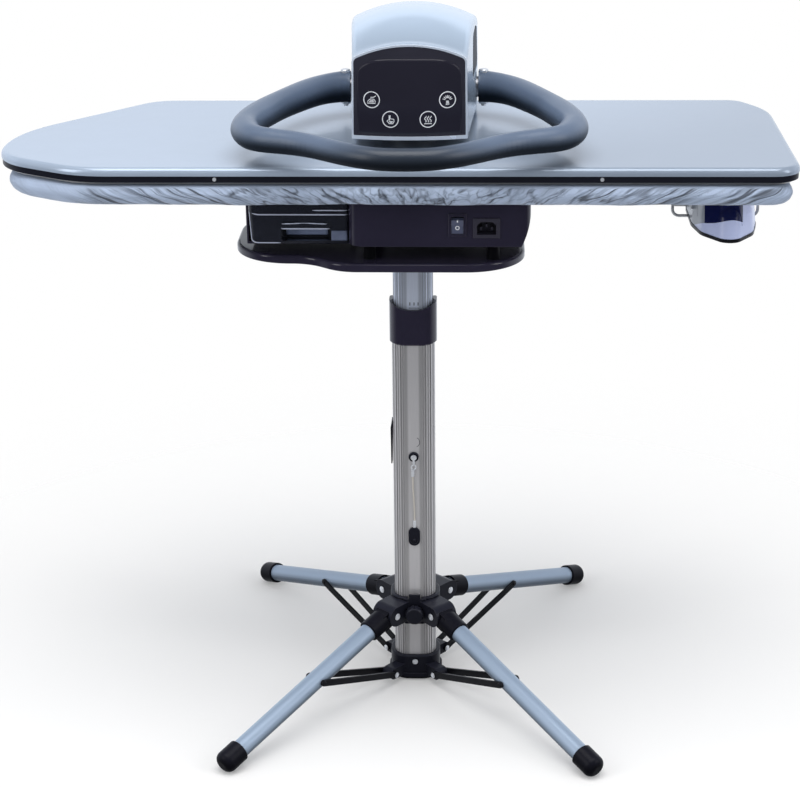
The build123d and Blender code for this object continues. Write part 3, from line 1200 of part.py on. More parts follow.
def platen_mount():
    """The post and flange that join the platen's middle to the arm's frame."""
    post = rod_z(0, 30, 24, PLATEN_TOP, HEAD_BOTTOM + 6)
    flange = rod_z(0, 30, 44, PLATEN_TOP, PLATEN_TOP + 4)
    flange = fillet(flange.edges().group_by(Axis.Z)[-1], 1.5)
    mount = post + flange
    for index in range(4):
        angle = radians(45 + 90 * index)
        mount += rod_z(35 * cos(angle), 30 + 35 * sin(angle), 4.0, PLATEN_TOP + 4, PLATEN_TOP + 7)
    return mount


def hinge_bracket():
    """The hinge's carrier: a foot under the bed plate and two ears behind the bed."""
    foot_front = BED_REAR - 70
    ear_front = BED_REAR - 40
    foot_top = BED_PLATE_BOTTOM
    outer = HINGE_EAR_INNER + HINGE_EAR_THICKNESS
    bracket = box_between(-outer, outer, foot_front, BED_REAR - 18, foot_top - 5, foot_top)
    ear_corners = ((ear_front, foot_top), (ear_front, foot_top - 36), (HINGE_Y - 6, HINGE_Z - HINGE_EAR_RADIUS),
                   (HINGE_Y + HINGE_EAR_RADIUS, HINGE_Z - HINGE_EAR_RADIUS),
                   (HINGE_Y + HINGE_EAR_RADIUS, HINGE_Z + HINGE_EAR_RADIUS),
                   (HINGE_Y - 10, HINGE_Z + HINGE_EAR_RADIUS), (BED_REAR - 18, COVER_HEM_Z - 5), (BED_REAR - 18, foot_top))
    ear = extrude(Plane.YZ * closed_face(ear_corners, (0, 12.0, 20.0, 12.0, 12.0, 14.0, 0, 0)), HINGE_EAR_THICKNESS)
    bracket += Pos(HINGE_EAR_INNER, 0, 0) * ear
    bracket += Pos(-outer, 0, 0) * ear
    bracket += box_between(-HINGE_EAR_INNER, HINGE_EAR_INNER, BED_REAR - 14, BED_REAR - 9, foot_top - 30, foot_top - 4)
    bracket -= rod_x(HINGE_Y, HINGE_Z, HINGE_PIN_RADIUS + RUNNING_FIT, -80, 80)
    return bracket


def hinge_pin():
    """The hinge's cross pin with its two heads outside the arm's frame."""
    reach = FRAME_PLATE_INNER + FRAME_PLATE_THICKNESS + SLIDING_GAP
    pin = rod_x(HINGE_Y, HINGE_Z, HINGE_PIN_RADIUS, -reach, reach)
    pin += rod_x(HINGE_Y, HINGE_Z, HINGE_PIN_RADIUS + 3, reach, reach + 4)
    pin += rod_x(HINGE_Y, HINGE_Z, HINGE_PIN_RADIUS + 3, -reach - 4, -reach)
    return pin


def handle_shaft():
    """The handle's cross shaft through the arm."""
    reach = HANDLE_BOLT_X + SHAFT_END_MARGIN
    shaft = rod_x(SHAFT_Y, SHAFT_Z, SHAFT_RADIUS, -reach, reach)
    for x in (-HANDLE_BOLT_X, HANDLE_BOLT_X):
        shaft -= rod_z(x, SHAFT_Y, HANDLE_BOLT_RADIUS + RUNNING_FIT, SHAFT_Z - 40, SHAFT_Z + 40)
    return shaft


def grip_stations():
    """The whole grip from the left root round to the right one."""
    left = [(-x, y, z, radius) for x, y, z, radius in GRIP_STATIONS]
    right = list(reversed(GRIP_STATIONS))
    return left + [GRIP_MIDDLE] + right


def handle_grip():
    """The bow-shaped grip, thick at its roots and thin across the front."""
    stations = grip_stations()
    places = [Vector(x, y, z) for x, y, z, radius in stations]
    circles = []
    for index, (place, station) in enumerate(zip(places, stations)):
        ahead = places[min(index + 1, len(places) - 1)]
        behind = places[max(index - 1, 0)]
        heading = ahead - behind
        if index in (0, len(places) - 1):
            heading = Vector(-1, 0, 0)
        circles.append(Plane(origin=place, x_dir=(0, 0, 1), z_dir=heading) * Circle(station[3]))
    grip = loft(circles)
    bore_end = HANDLE_BOLT_X + SHAFT_END_MARGIN + 1
    grip -= rod_x(SHAFT_Y, SHAFT_Z, SHAFT_RADIUS + RUNNING_FIT, -bore_end, bore_end)
    seat = HANDLE_BOLT_SEAT
    for x in (-HANDLE_BOLT_X, HANDLE_BOLT_X):
        grip -= rod_z(x, SHAFT_Y, HANDLE_BOLT_RADIUS + RUNNING_FIT, SHAFT_Z - 2 * seat, SHAFT_Z + 2 * seat)
        grip -= rod_z(x, SHAFT_Y, HANDLE_BOLT_HEAD + 1.0, SHAFT_Z + seat, SHAFT_Z + 2 * seat)
        grip -= rod_z(x, SHAFT_Y, HANDLE_BOLT_HEAD + 1.0, SHAFT_Z - 2 * seat, SHAFT_Z - seat)
    return grip


def handle_bolts():
    """The two upright bolts that hold the grip to its shaft."""
    bolts = []
    for x in (-HANDLE_BOLT_X, HANDLE_BOLT_X):
        seat = SHAFT_Z + HANDLE_BOLT_SEAT
        bolt = rod_z(x, SHAFT_Y, HANDLE_BOLT_RADIUS, SHAFT_Z - HANDLE_BOLT_SEAT - 8, seat)
        head = rod_z(x, SHAFT_Y, HANDLE_BOLT_HEAD, seat, seat + HANDLE_BOLT_HEAD_HEIGHT)
        head = chamfer(head.edges().group_by(Axis.Z)[-1], 1.2)
        nut_height = 5.0
        nut = Pos(x, SHAFT_Y, SHAFT_Z - HANDLE_BOLT_SEAT - nut_height)
        nut = nut * extrude(RegularPolygon(HANDLE_BOLT_HEAD, 6), nut_height)
        bolts.append(bolt + head + nut)
    return bolts


def iron_plan(inset, front_shift):
    """The iron's plan: pointed in front with bowed flanks, square behind."""
    half = IRON_WIDTH / 2 - inset
    nose = IRON_NOSE_Y + inset + front_shift
    rear = IRON_NOSE_Y + IRON_LENGTH - inset
    corners = ((0, nose - 6), (half * 0.8, nose + 42), (half, nose + 84), (half, rear), (-half, rear),
               (-half, nose + 84), (-half * 0.8, nose + 42))
    face = closed_face(corners, (17.0, 40.0, 70.0, 12.0, 12.0, 70.0, 40.0))
    return Pos(IRON_X, 0) * face


def iron_sole():
    """The iron's sole plate."""
    return raised(iron_plan(0, 0), IRON_SOLE_BOTTOM, IRON_SOLE_TOP)


def iron_shell():
    """The iron's moulded shell, drawn in towards its top."""
    low = Pos(0, 0, IRON_SOLE_TOP) * iron_plan(0.6, 0)
    high = Pos(0, 0, IRON_SEAM) * iron_plan(3.0, 2)
    shell = loft([low, high], ruled=True)
    top_low = Pos(0, 0, IRON_SEAM) * iron_plan(3.0, 2)
    top_high = Pos(0, 0, IRON_TOP) * iron_plan(9.0, 6)
    shell += loft([top_low, top_high], ruled=True)
    shell -= iron_tank_block(SLIDING_GAP * 0.2)
    shell -= iron_handle_block(SLIDING_GAP * 0.2)
    return shell


def iron_tank_block(growth):
    """The space of the iron's own water tank, high on its left front."""
    return box_between(IRON_X - 36 - growth, IRON_X + 22 + growth, IRON_NOSE_Y + 20 - growth, IRON_NOSE_Y + 80 + growth,
                       IRON_SEAM - 12 - growth, IRON_TOP + 10)


def iron_handle_block(growth):
    """The space of the iron's folded handle, along its left rear."""
    return box_between(IRON_X - 60, IRON_X - 22 + growth, IRON_NOSE_Y + 84 - growth, IRON_NOSE_Y + IRON_LENGTH - 12 + growth,
                       IRON_SEAM - 8 - growth, IRON_TOP + 10)


def iron_tank():
    """The iron's own small water tank."""
    body = loft([Pos(0, 0, IRON_SEAM - 12) * iron_plan(1.0, 1), Pos(0, 0, IRON_TOP - 1) * iron_plan(6.0, 4)], ruled=True)
    return body & iron_tank_block(0)


def iron_handle():
    """The iron's handle, folded flat against it."""
    body = loft([Pos(0, 0, IRON_SEAM - 8) * iron_plan(-1.0, 0), Pos(0, 0, IRON_TOP) * iron_plan(5.0, 4)], ruled=True)
    return body & iron_handle_block(0)


def cradle_hoop(y):
    """One wire hoop of the cradle: down, under the iron's sole and up again, with turned-out feet."""
    top = BED_PLATE_BOTTOM - CRADLE_WIRE_RADIUS
    bottom = IRON_SOLE_BOTTOM - SLIDING_GAP - CRADLE_WIRE_RADIUS
    points = ((CRADLE_LEFT - 22, y, top), (CRADLE_LEFT, y, top), (CRADLE_LEFT, y, bottom), (CRADLE_RIGHT, y, bottom),
              (CRADLE_RIGHT, y, top), (CRADLE_RIGHT - 22, y, top))
    path = FilletPolyline(*points, radius=CRADLE_BEND)
    start = Plane(origin=path @ 0, z_dir=path % 0)
    return sweep(start * Circle(CRADLE_WIRE_RADIUS), path=path)


def iron_cradle():
    """The wire cradle that hangs the iron under the bed."""
    cradle = cradle_hoop(CRADLE_YS[0]) + cradle_hoop(CRADLE_YS[1])
    bottom = IRON_SOLE_BOTTOM - SLIDING_GAP - CRADLE_WIRE_RADIUS
    for x in (CRADLE_LEFT + 24, CRADLE_RIGHT - 24):
        cradle += rod_y(x, bottom - 1.5, CRADLE_WIRE_RADIUS, CRADLE_YS[0] - 4, CRADLE_YS[1] + 4)
    return cradle


def write(name, shape):
    """Write one named sub-part, as one solid or as a group of separate solids."""
    pieces = shape if isinstance(shape, list) else [shape]
    solids = []
    for piece in pieces:
        solids.extend(piece.solids())
    whole = solids[0] if len(solids) == 1 else Compound(children=solids)
    whole.label = name
    export_step(whole, "parts/" + name + ".step")


def main():
    """Build every sub-part and write it."""
    os.makedirs("parts", exist_ok=True)
    singles = (outer_tube, column_collar, inner_tube, column_plugs, lock_pin, height_catch, lower_hub, hub_foot,
               hub_fasteners, upper_hub, leg_pivot_pins, hub_knob, platform, machine_feet, base_housing, rear_cover,
               switch_frame, rocker_switch, mains_inlet, water_tank, pump, circuit_board, bed_frame, bed_pad, bed_cover,
               platen_shell, platen_band, heating_plate, heating_element, shell_screws, arm_cover, side_panels,
               panel_trim, control_panel, arm_frame, platen_mount, hinge_bracket, hinge_pin, handle_shaft, handle_grip,
               handle_bolts, iron_sole, iron_shell, iron_tank, iron_handle, iron_cradle)
    for make in singles:
        write(make.__name__, make())
    write("pin_lanyard", lanyard())
    for place, azimuth in leg_azimuths().items():
        write("leg_tube_" + place, leg_tube(azimuth))
        write("leg_ends_" + place, leg_ends(azimuth))
        write("brace_" + place, brace(azimuth))


main()
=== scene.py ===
"""Looks for a steam ironing press: a padded bed under a heated platen, on a folding column stand."""

import json
import logging
import math
from dataclasses import dataclass
from enum import Enum

import bmesh
import bpy
from mathutils import Matrix, Vector, noise
from mathutils.bvhtree import BVHTree


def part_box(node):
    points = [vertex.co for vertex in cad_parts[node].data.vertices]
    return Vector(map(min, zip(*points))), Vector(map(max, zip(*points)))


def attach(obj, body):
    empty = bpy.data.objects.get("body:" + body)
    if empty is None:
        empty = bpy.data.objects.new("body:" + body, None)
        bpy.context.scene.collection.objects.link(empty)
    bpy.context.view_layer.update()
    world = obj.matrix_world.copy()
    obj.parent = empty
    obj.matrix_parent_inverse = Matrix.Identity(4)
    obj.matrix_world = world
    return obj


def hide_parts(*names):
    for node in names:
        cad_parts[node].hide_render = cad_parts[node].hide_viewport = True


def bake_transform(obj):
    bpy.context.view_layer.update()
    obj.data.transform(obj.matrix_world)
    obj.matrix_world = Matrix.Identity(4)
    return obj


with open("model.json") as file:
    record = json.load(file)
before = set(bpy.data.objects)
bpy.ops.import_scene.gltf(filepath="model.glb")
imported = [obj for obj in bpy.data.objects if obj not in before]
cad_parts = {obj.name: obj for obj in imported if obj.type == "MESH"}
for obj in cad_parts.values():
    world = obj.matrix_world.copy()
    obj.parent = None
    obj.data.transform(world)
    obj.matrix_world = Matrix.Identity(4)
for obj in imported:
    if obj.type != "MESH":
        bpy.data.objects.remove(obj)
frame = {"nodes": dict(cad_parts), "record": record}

LOG = logging.getLogger("press")
VALLEY_SHADE = "valley"
FOLDS = "folds"
TURN = 2 * math.pi
Colour = tuple[float, float, float]
Face = tuple[int, ...]
Line = list[tuple[float, float]]
Socket = bpy.types.NodeSocket
Node = bpy.types.Node
Tree = bpy.types.NodeTree
Sockets = dict[str, Socket]


class Direction(Enum):
    """The way that a drawn or brushed surface's lines run."""

    ALONG_X = (1.0, 60.0, 60.0)
    ALONG_Z = (60.0, 60.0, 1.0)


class Pictogram(Enum):
    """The plain signs printed in the touch panel's rings."""

    IRON = "iron"
    TOUCH = "touch"
    STEAM = "steam"
    JETS = "jets"


class Sheet:
    """A node tree with short calls that place and join its nodes."""

    def __init__(self, tree: Tree) -> None:
        """Args:
            tree: the material's, the world's or the group's node tree.
        """
        self.tree = tree

    def feed(self, value: object, target: Socket) -> None:
        """Joins a socket to an input, or sets the input's own value."""
        if isinstance(value, Socket):
            self.tree.links.new(value, target)
        else:
            target.default_value = value

    def node(self, kind: str, **settings: object) -> Node:
        """Places a node.

        Args:
            kind: the node's Blender type, without the word ShaderNode in front.
            settings: its properties; a name that is no property feeds the input of that name.

        Returns:
            The new node.
        """
        made = self.tree.nodes.new("ShaderNode" + kind)
        for name, value in settings.items():
            if hasattr(made, name):
                setattr(made, name, value)
            else:
                self.feed(value, made.inputs[name.replace("_", " ")])
        return made

    def sums(self, operation: str, first: Socket | float, second: Socket | float = 0.0) -> Socket:
        """Works out a value from two others.

        Args:
            operation: the Math node's operation.
            first: the first value.
            second: the second value.

        Returns:
            The result's socket.
        """
        made = self.node("Math", operation=operation)
        self.feed(first, made.inputs[0])
        self.feed(second, made.inputs[1])
        return made.outputs[0]

    def times(self, first: Socket, second: Socket | float) -> Socket:
        """Multiplies two values."""
        return self.sums("MULTIPLY", first, second)

    def vector(self, operation: str, first: Socket, second: Socket | None = None) -> Socket:
        """Works out a vector, or a number for a length or a dot product, from one or two vectors."""
        made = self.node("VectorMath", operation=operation)
        self.feed(first, made.inputs[0])
        if second:
            self.feed(second, made.inputs[1])
        return made.outputs["Value" if operation in ("LENGTH", "DOT_PRODUCT") else "Vector"]

    def spread(self, value: Socket, low: float = 0.0, high: float = 1.0, start: float = 0.0,
               end: float = 1.0) -> Socket:
        """Maps a value evenly from one range to another.

        Args:
            value: the value's socket.
            low: the result at the range's start.
            high: the result at its end.
            start: where the range starts.
            end: where it ends.

        Returns:
            The mapped value's socket.
        """
        made = self.node("MapRange", Value=value, From_Min=start, From_Max=end, To_Min=low, To_Max=high)
        return made.outputs["Result"]

    def eased(self, value: Socket, start: Socket | float, end: Socket | float, low: float = 0.0,
              high: float = 1.0) -> Socket:
        """Maps a value like spread, but with a smooth start and end."""
        made = self.node("MapRange", interpolation_type="SMOOTHSTEP", Value=value, From_Min=start,
                         From_Max=end, To_Min=low, To_Max=high)
        return made.outputs["Result"]

    def mixed(self, share: Socket, first: Socket | Colour, second: Socket | Colour) -> Socket:
        """Mixes two colours.

        Args:
            share: how much of the second colour there is.
            first: the first colour.
            second: the second colour.

        Returns:
            The mixed colour's socket.
        """
        made = self.node("Mix", data_type="RGBA", Factor=share)
        for name, colour in (("A", first), ("B", second)):
            self.feed(colour if isinstance(colour, Socket) else (*colour, 1.0), made.inputs[name])
        return made.outputs["Result"]

    def place(self, kind: str = "Object") -> Socket:
        """Gives the place on the object, or the texture coordinate of another kind."""
        return self.node("TexCoord").outputs[kind]

    def axes(self, vector: Socket) -> list[Socket]:
        """Splits a vector into its three numbers."""
        return list(self.node("SeparateXYZ", Vector=vector).outputs)

    def joined(self, given: Sockets, word: str) -> Socket:
        """Joins a group's three inputs that begin with a word into one vector."""
        return self.node("CombineXYZ", **{axis.upper(): given[f"{word} {axis}"] for axis in "xyz"}).outputs[0]


class SharedEffect:
    """A surface effect kept as one node group and placed in each material with its own values."""

    label: str = "effect"
    inputs: dict[str, float] = {}
    outputs: dict[str, str] = {"Mask": "Float"}

    def group(self) -> Tree:
        """Finds or builds the effect's node group.

        Returns:
            The node group.
        """
        found = bpy.data.node_groups.get(self.label)
        if found:
            return found
        tree = bpy.data.node_groups.new(self.label, "ShaderNodeTree")
        for name, value in self.inputs.items():
            made = tree.interface.new_socket(name, in_out="INPUT", socket_type="NodeSocketFloat")
            made.default_value = value
        for name, kind in self.outputs.items():
            tree.interface.new_socket(name, in_out="OUTPUT", socket_type="NodeSocket" + kind)
        given = tree.nodes.new("NodeGroupInput").outputs
        result = tree.nodes.new("NodeGroupOutput").inputs
        for source, name in zip(self.draw(Sheet(tree), given), self.outputs):
            tree.links.new(source, result[name])
        return tree

    def draw(self, sheet: Sheet, given: Sockets) -> tuple[Socket, ...]:
        """Places the effect's own nodes and gives a socket for each output; each effect has its own."""
        raise NotImplementedError

    def place(self, sheet: Sheet, **values: float) -> Sockets:
        """Places the effect in a material.

        Args:
            sheet: the material's node sheet.
            values: the group's inputs for this material.

        Returns:
            The group node's outputs.
        """
        made = sheet.node("Group", node_tree=self.group())
        for name, value in values.items():
            made.inputs[name.capitalize().replace("_", " ")].default_value = value
        return made.outputs

    def mask(self, sheet: Sheet, **values: float) -> Socket:
        """Places the effect and gives its mask alone."""
        return self.place(sheet, **values)["Mask"]


class Wander(SharedEffect):
    """A slow change over the surface, as handling and moulding leave it."""

    label = "slow_wander"
    inputs = {"Size": 0.08}

    def draw(self, sheet: Sheet, given: Sockets) -> tuple[Socket, ...]:
        """Draws soft noise of the given size, stretched to run from 0 to 1."""
        scale = sheet.sums("DIVIDE", 1.0, given["Size"])
        cloud = sheet.node("TexNoise", Detail=4.0, Roughness=0.55, Scale=scale, Vector=sheet.place())
        return (sheet.spread(cloud.outputs["Fac"], start=0.3, end=0.7),)


class Grain(SharedEffect):
    """The fine pebbled grain of a moulding, a foam or a powder coat."""

    label = "fine_grain"
    inputs = {"Size": 0.001}

    def draw(self, sheet: Sheet, given: Sockets) -> tuple[Socket, ...]:
        """Draws rounded cells of the given size under a little noise."""
        place, scale = sheet.place(), sheet.sums("DIVIDE", 1.0, given["Size"])
        cells = sheet.node("TexVoronoi", feature="SMOOTH_F1", Scale=scale, Vector=place)
        speck = sheet.node("TexNoise", Detail=2.0, Scale=scale, Vector=place)
        return (sheet.times(sheet.sums("ADD", cells.outputs["Distance"], speck.outputs["Fac"]), 0.6),)


class Brushing(SharedEffect):
    """Fine lines drawn along a metal surface."""

    label = "brushed_lines"
    inputs = {"Across": 900.0, "Along x": 1.0, "Along y": 1.0, "Along z": 1.0}

    def draw(self, sheet: Sheet, given: Sockets) -> tuple[Socket, ...]:
        """Draws noise squeezed on two axes, so that it turns into lines along the third."""
        squeezed = sheet.vector("MULTIPLY", sheet.place(), sheet.joined(given, "Along"))
        lines = sheet.node("TexNoise", Detail=3.0, Roughness=0.6, Scale=given["Across"], Vector=squeezed)
        return (lines.outputs["Fac"],)


class Flutes(SharedEffect):
    """The upright ribs of the column's extrusion, on its two rounded sides, with a mask of painted shade on
    the slopes beside its flat front band.
    """

    label = "column_flutes"
    inputs = {"Pitch": 0.0032, "Flat half": 0.0125}
    outputs = {"Mask": "Float", "Facet shade": "Float"}
    slope_from = 0.0060
    slope_to = 0.0095

    def draw(self, sheet: Sheet, given: Sockets) -> tuple[Socket, ...]:
        """Draws a rib for each step across the column, and the painted shade of a slope beside its flat front
        band.
        """
        across = sheet.sums("ABSOLUTE", sheet.axes(sheet.place())[0])
        wave = sheet.sums("SINE", sheet.times(sheet.sums("DIVIDE", across, given["Pitch"]), TURN))
        ribs = sheet.times(sheet.sums("ADD", wave, 1.0), 0.5)
        beyond = sheet.sums("GREATER_THAN", across, given["Flat half"])
        slope = sheet.eased(across, self.slope_from, self.slope_to)
        return sheet.times(ribs, beyond), sheet.times(slope, sheet.spread(beyond, 1.0, 0.0))


class PaintedUnderShade(SharedEffect):
    """The darker, duller lower side of a rounded piece: painted shade on the faces that turn down, and
    painted light on the faces that turn up.
    """

    label = "painted_under_shade"
    inputs = {"Strength": 0.5, "Dark at": -0.75, "Light at": 0.15}

    def draw(self, sheet: Sheet, given: Sockets) -> tuple[Socket, ...]:
        """Draws 1 on upward faces and falls off over the faces that turn down, as the mask of the painted
        shade.
        """
        upward = sheet.axes(sheet.node("NewGeometry").outputs["Normal"])[2]
        turned = sheet.eased(upward, given["Dark at"], given["Light at"])
        lost = sheet.times(sheet.spread(turned, 1.0, 0.0), given["Strength"])
        return (sheet.spread(lost, 1.0, 0.0),)


class PaintedLightSweep(SharedEffect):
    """A soft change from one place on the object to another, which the swept finishes follow with a painted
    reflection.
    """

    label = "painted_light_sweep"
    inputs = {"From x": 0.0, "From y": 0.0, "From z": 0.0, "Along x": 0.0, "Along y": 0.0, "Along z": 1.0}

    def draw(self, sheet: Sheet, given: Sockets) -> tuple[Socket, ...]:
        """Measures how far a point lies along the sweep, from 0 to 1."""
        along = sheet.joined(given, "Along")
        away = sheet.vector("SUBTRACT", sheet.place(), sheet.joined(given, "From"))
        reached, whole = (sheet.vector("DOT_PRODUCT", way, along) for way in (away, along))
        return (sheet.eased(sheet.sums("DIVIDE", reached, whole), 0.0, 1.0),)


class Weave(SharedEffect):
    """The over-and-under of a plain woven cotton."""

    label = "plain_weave"
    inputs = {"Thread": 0.0009}
    loosening = 0.0016

    def draw(self, sheet: Sheet, given: Sockets) -> tuple[Socket, ...]:
        """Draws crossing ribs, loosened by a little noise."""
        place = sheet.place()
        drift = sheet.node("TexNoise", Scale=120.0, Detail=2.0, Vector=place).outputs["Fac"]
        shift = sheet.times(drift, self.loosening)
        x, y, z = sheet.axes(place)
        turn = sheet.sums("DIVIDE", math.pi, given["Thread"])
        over, under = (sheet.sums("SINE", sheet.times(sheet.sums("ADD", way, shift), turn))
                       for way in (x, sheet.sums("ADD", y, z)))
        return (sheet.spread(sheet.sums("ABSOLUTE", sheet.times(over, under))),)


class Creases(SharedEffect):
    """The thin sharp creases of a cloth drawn tight round an edge, in the cloth's own measure."""

    label = "fine_creases"
    inputs = {"Count": 40.0, "Sharpness": 12.0}

    def draw(self, sheet: Sheet, given: Sockets) -> tuple[Socket, ...]:
        """Draws a thin line wherever a slow noise crosses its middle, more in some places than in others."""
        cloth = sheet.node("Attribute", attribute_name=FOLDS).outputs
        drift = sheet.node("TexNoise", Detail=1.6, Roughness=0.5, Distortion=0.35, Scale=given["Count"],
                           Vector=cloth["Vector"])
        off = sheet.sums("ABSOLUTE", sheet.sums("SUBTRACT", drift.outputs["Fac"], 0.5))
        line = sheet.eased(sheet.times(off, given["Sharpness"]), 1.0, 0.0)
        patches = sheet.node("TexNoise", Scale=22.0, Detail=1.0, Vector=cloth["Vector"])
        strong = sheet.eased(patches.outputs["Fac"], 0.33, 0.56)
        return (sheet.times(sheet.times(line, sheet.spread(strong, 0.25, 1.0)), cloth["Alpha"]),)


class Patch(SharedEffect):
    """An upright patch of a moulding in another colour, with a slanting, slightly wavy lower edge."""

    label = "colour_patch"
    inputs = {"Left": 0.0, "Right": 0.1, "Foot": 0.0, "Nose": 0.0, "Slant": 0.39}
    wave_rate = 150.0
    wave_height = 0.0012

    def draw(self, sheet: Sheet, given: Sockets) -> tuple[Socket, ...]:
        """Draws 1 between the patch's sides and above its lower edge."""
        x, y, z = sheet.axes(sheet.place())
        back = sheet.times(sheet.sums("SUBTRACT", y, given["Nose"]), given["Slant"])
        wave = sheet.times(sheet.sums("SINE", sheet.times(x, self.wave_rate)), self.wave_height)
        height = sheet.sums("ADD", sheet.sums("ADD", z, back), wave)
        above = sheet.sums("GREATER_THAN", height, given["Foot"])
        inside = sheet.times(sheet.sums("GREATER_THAN", x, given["Left"]),
                             sheet.sums("LESS_THAN", x, given["Right"]))
        return (sheet.times(above, inside),)


class SoftEdge(SharedEffect):
    """Edges rounded for the light, with a mask of the edges, which finishes lighten where they are rubbed
    pale and, on glossy finishes, as a painted edge highlight.
    """

    label = "soft_edge"
    inputs = {"Radius": 0.0006}
    outputs = {"Mask": "Float", "Normal": "Vector"}
    flat_bend = 0.995
    sharp_bend = 0.8

    def draw(self, sheet: Sheet, given: Sockets) -> tuple[Socket, ...]:
        """Draws the rounded normal, and compares it with the flat one for the mask."""
        rounded = sheet.node("Bevel", samples=4, Radius=given["Radius"]).outputs[0]
        bend = sheet.vector("DOT_PRODUCT", rounded, sheet.node("NewGeometry").outputs["Normal"])
        return sheet.spread(bend, start=self.flat_bend, end=self.sharp_bend), rounded


def lighter(colour: Colour, share: float) -> Colour:
    """Moves a colour towards white, or towards black where the share is below 0.

    Args:
        colour: the colour.
        share: how far it moves, from -1 to 1.

    Returns:
        The new colour.
    """
    goal = 1.0 if share > 0 else 0.0
    return tuple(value + (goal - value) * abs(share) for value in colour)


@dataclass(frozen=True)
class Finish:
    """A moulded or painted surface.

    Attributes:
        label: the material's name.
        colour: its base colour.
        roughness: its middle roughness.
        metallic: how metallic it is.
        coat: how much clear coat lies on it.
        grain: the size of its grain in metres.
        depth: the depth of its grain in metres.
        drift_and_sweep: how far its roughness and colour drift, and in a swept finish how deep its painted
            reflection goes.
        edge_wear_and_glint: how much lighter its edges are, rubbed pale and, on glossy finishes, as a painted
            edge highlight.
        edge: the radius that its edges are softened to, in metres.
        sheen: how much light its fibres catch.
        specular: the strength of its plain reflection.
        shaded: how much painted shade darkens and dulls its downward faces, against painted light on its
            upward ones.
        dark_at: the upward share of a face's direction where its painted shade is darkest.
        light_at: the upward share where its painted light is lightest.
    """

    label: str
    colour: Colour
    roughness: float = 0.5
    metallic: float = 0.0
    coat: float = 0.0
    grain: float = 0.0012
    depth: float = 0.00002
    drift_and_sweep: float = 0.12
    edge_wear_and_glint: float = 0.12
    edge: float = 0.0005
    sheen: float = 0.0
    specular: float = 0.5
    shaded: float = 0.0
    dark_at: float = -0.75
    light_at: float = 0.15

    def material(self) -> bpy.types.Material:
        """Finds or builds the finish's material.

        Returns:
            The material.
        """
        found = bpy.data.materials.get(self.label)
        if found:
            return found
        made = bpy.data.materials.new(self.label)
        made.use_nodes = True
        made.node_tree.nodes.clear()
        sheet = Sheet(made.node_tree)
        shader = sheet.node("BsdfPrincipled", Metallic=self.metallic, Coat_Weight=self.coat,
                            Coat_Roughness=0.04, Specular_IOR_Level=self.specular, Sheen_Weight=self.sheen)
        sheet.node("OutputMaterial", Surface=shader.outputs[0])
        self.dress(sheet, shader.inputs)
        return made

    def dress(self, sheet: Sheet, into: Sockets) -> None:
        """Gives the shader its colour, roughness and relief.

        Args:
            sheet: the material's node sheet.
            into: its Principled shader's inputs.
        """
        drift = Wander().mask(sheet, size=0.07)
        edge = SoftEdge().place(sheet, radius=self.edge)
        mask = self.pattern(sheet, drift)
        # Painted shade darkens and dulls the downward faces, and painted light brightens the upward ones.
        if self.shaded:
            lit = PaintedUnderShade().mask(sheet, strength=self.shaded, dark_at=self.dark_at, light_at=self.light_at)
            mask = sheet.times(sheet.spread(mask, 1.0 - self.drift_and_sweep, 1.0), lit)
            sheet.feed(sheet.spread(lit, 0.0, self.specular), into["Specular IOR Level"])
        # The body colour spreads between a darker and a lighter tone along the mask: random drift, and in
        # some finishes painted reflection and painted shade.
        lightest = tuple(min(value * (1.0 + 0.3 * self.drift_and_sweep), 1.0) for value in self.colour)
        body = sheet.mixed(mask, lighter(self.colour, -max(self.drift_and_sweep, self.shaded)), lightest)
        # Edges lighten where they are rubbed pale; on the gloss black and the smoky tank much of it is a
        # painted edge highlight.
        worn_and_glinting = sheet.mixed(sheet.times(edge["Mask"], self.edge_wear_and_glint), body, lighter(self.colour, 0.35))
        sheet.feed(self.toned(sheet, worn_and_glinting), into["Base Color"])
        drifting = min(self.drift_and_sweep, 0.1)
        shiniest = max(self.roughness * (1 - drifting), 0.02)
        dullest = min(self.roughness * (1 + drifting), 1.0)
        sheet.feed(sheet.spread(drift, shiniest, dullest), into["Roughness"])
        bump = sheet.node("Bump", Strength=1.0, Distance=self.depth, Height=self.relief(sheet),
                          Normal=edge["Normal"])
        sheet.feed(bump.outputs["Normal"], into["Normal"])

    def pattern(self, sheet: Sheet, drift: Socket) -> Socket:
        """Gives the mask that the two body colours follow."""
        return drift

    def toned(self, sheet: Sheet, colour: Socket) -> Socket:
        """Gives the finished colour, for a finish that tones it once more."""
        return colour

    def relief(self, sheet: Sheet) -> Socket:
        """Gives the height that the bump follows."""
        return Grain().mask(sheet, size=self.grain)


@dataclass(frozen=True)
class DrawnMetal(Finish):
    """A metal with lines drawn along it.

    Attributes:
        lines: the way that the lines run.
    """

    metallic: float = 1.0
    lines: Direction = Direction.ALONG_Z

    def brushing(self, sheet: Sheet) -> Socket:
        """Places the lines and gives their mask."""
        ways = dict(zip(("along_x", "along_y", "along_z"), self.lines.value))
        return Brushing().mask(sheet, across=30.0, **ways)

    def pattern(self, sheet: Sheet, drift: Socket) -> Socket:
        """Lets the colour follow the lines."""
        return self.brushing(sheet)

    def relief(self, sheet: Sheet) -> Socket:
        """Lets the relief follow the lines."""
        return self.brushing(sheet)


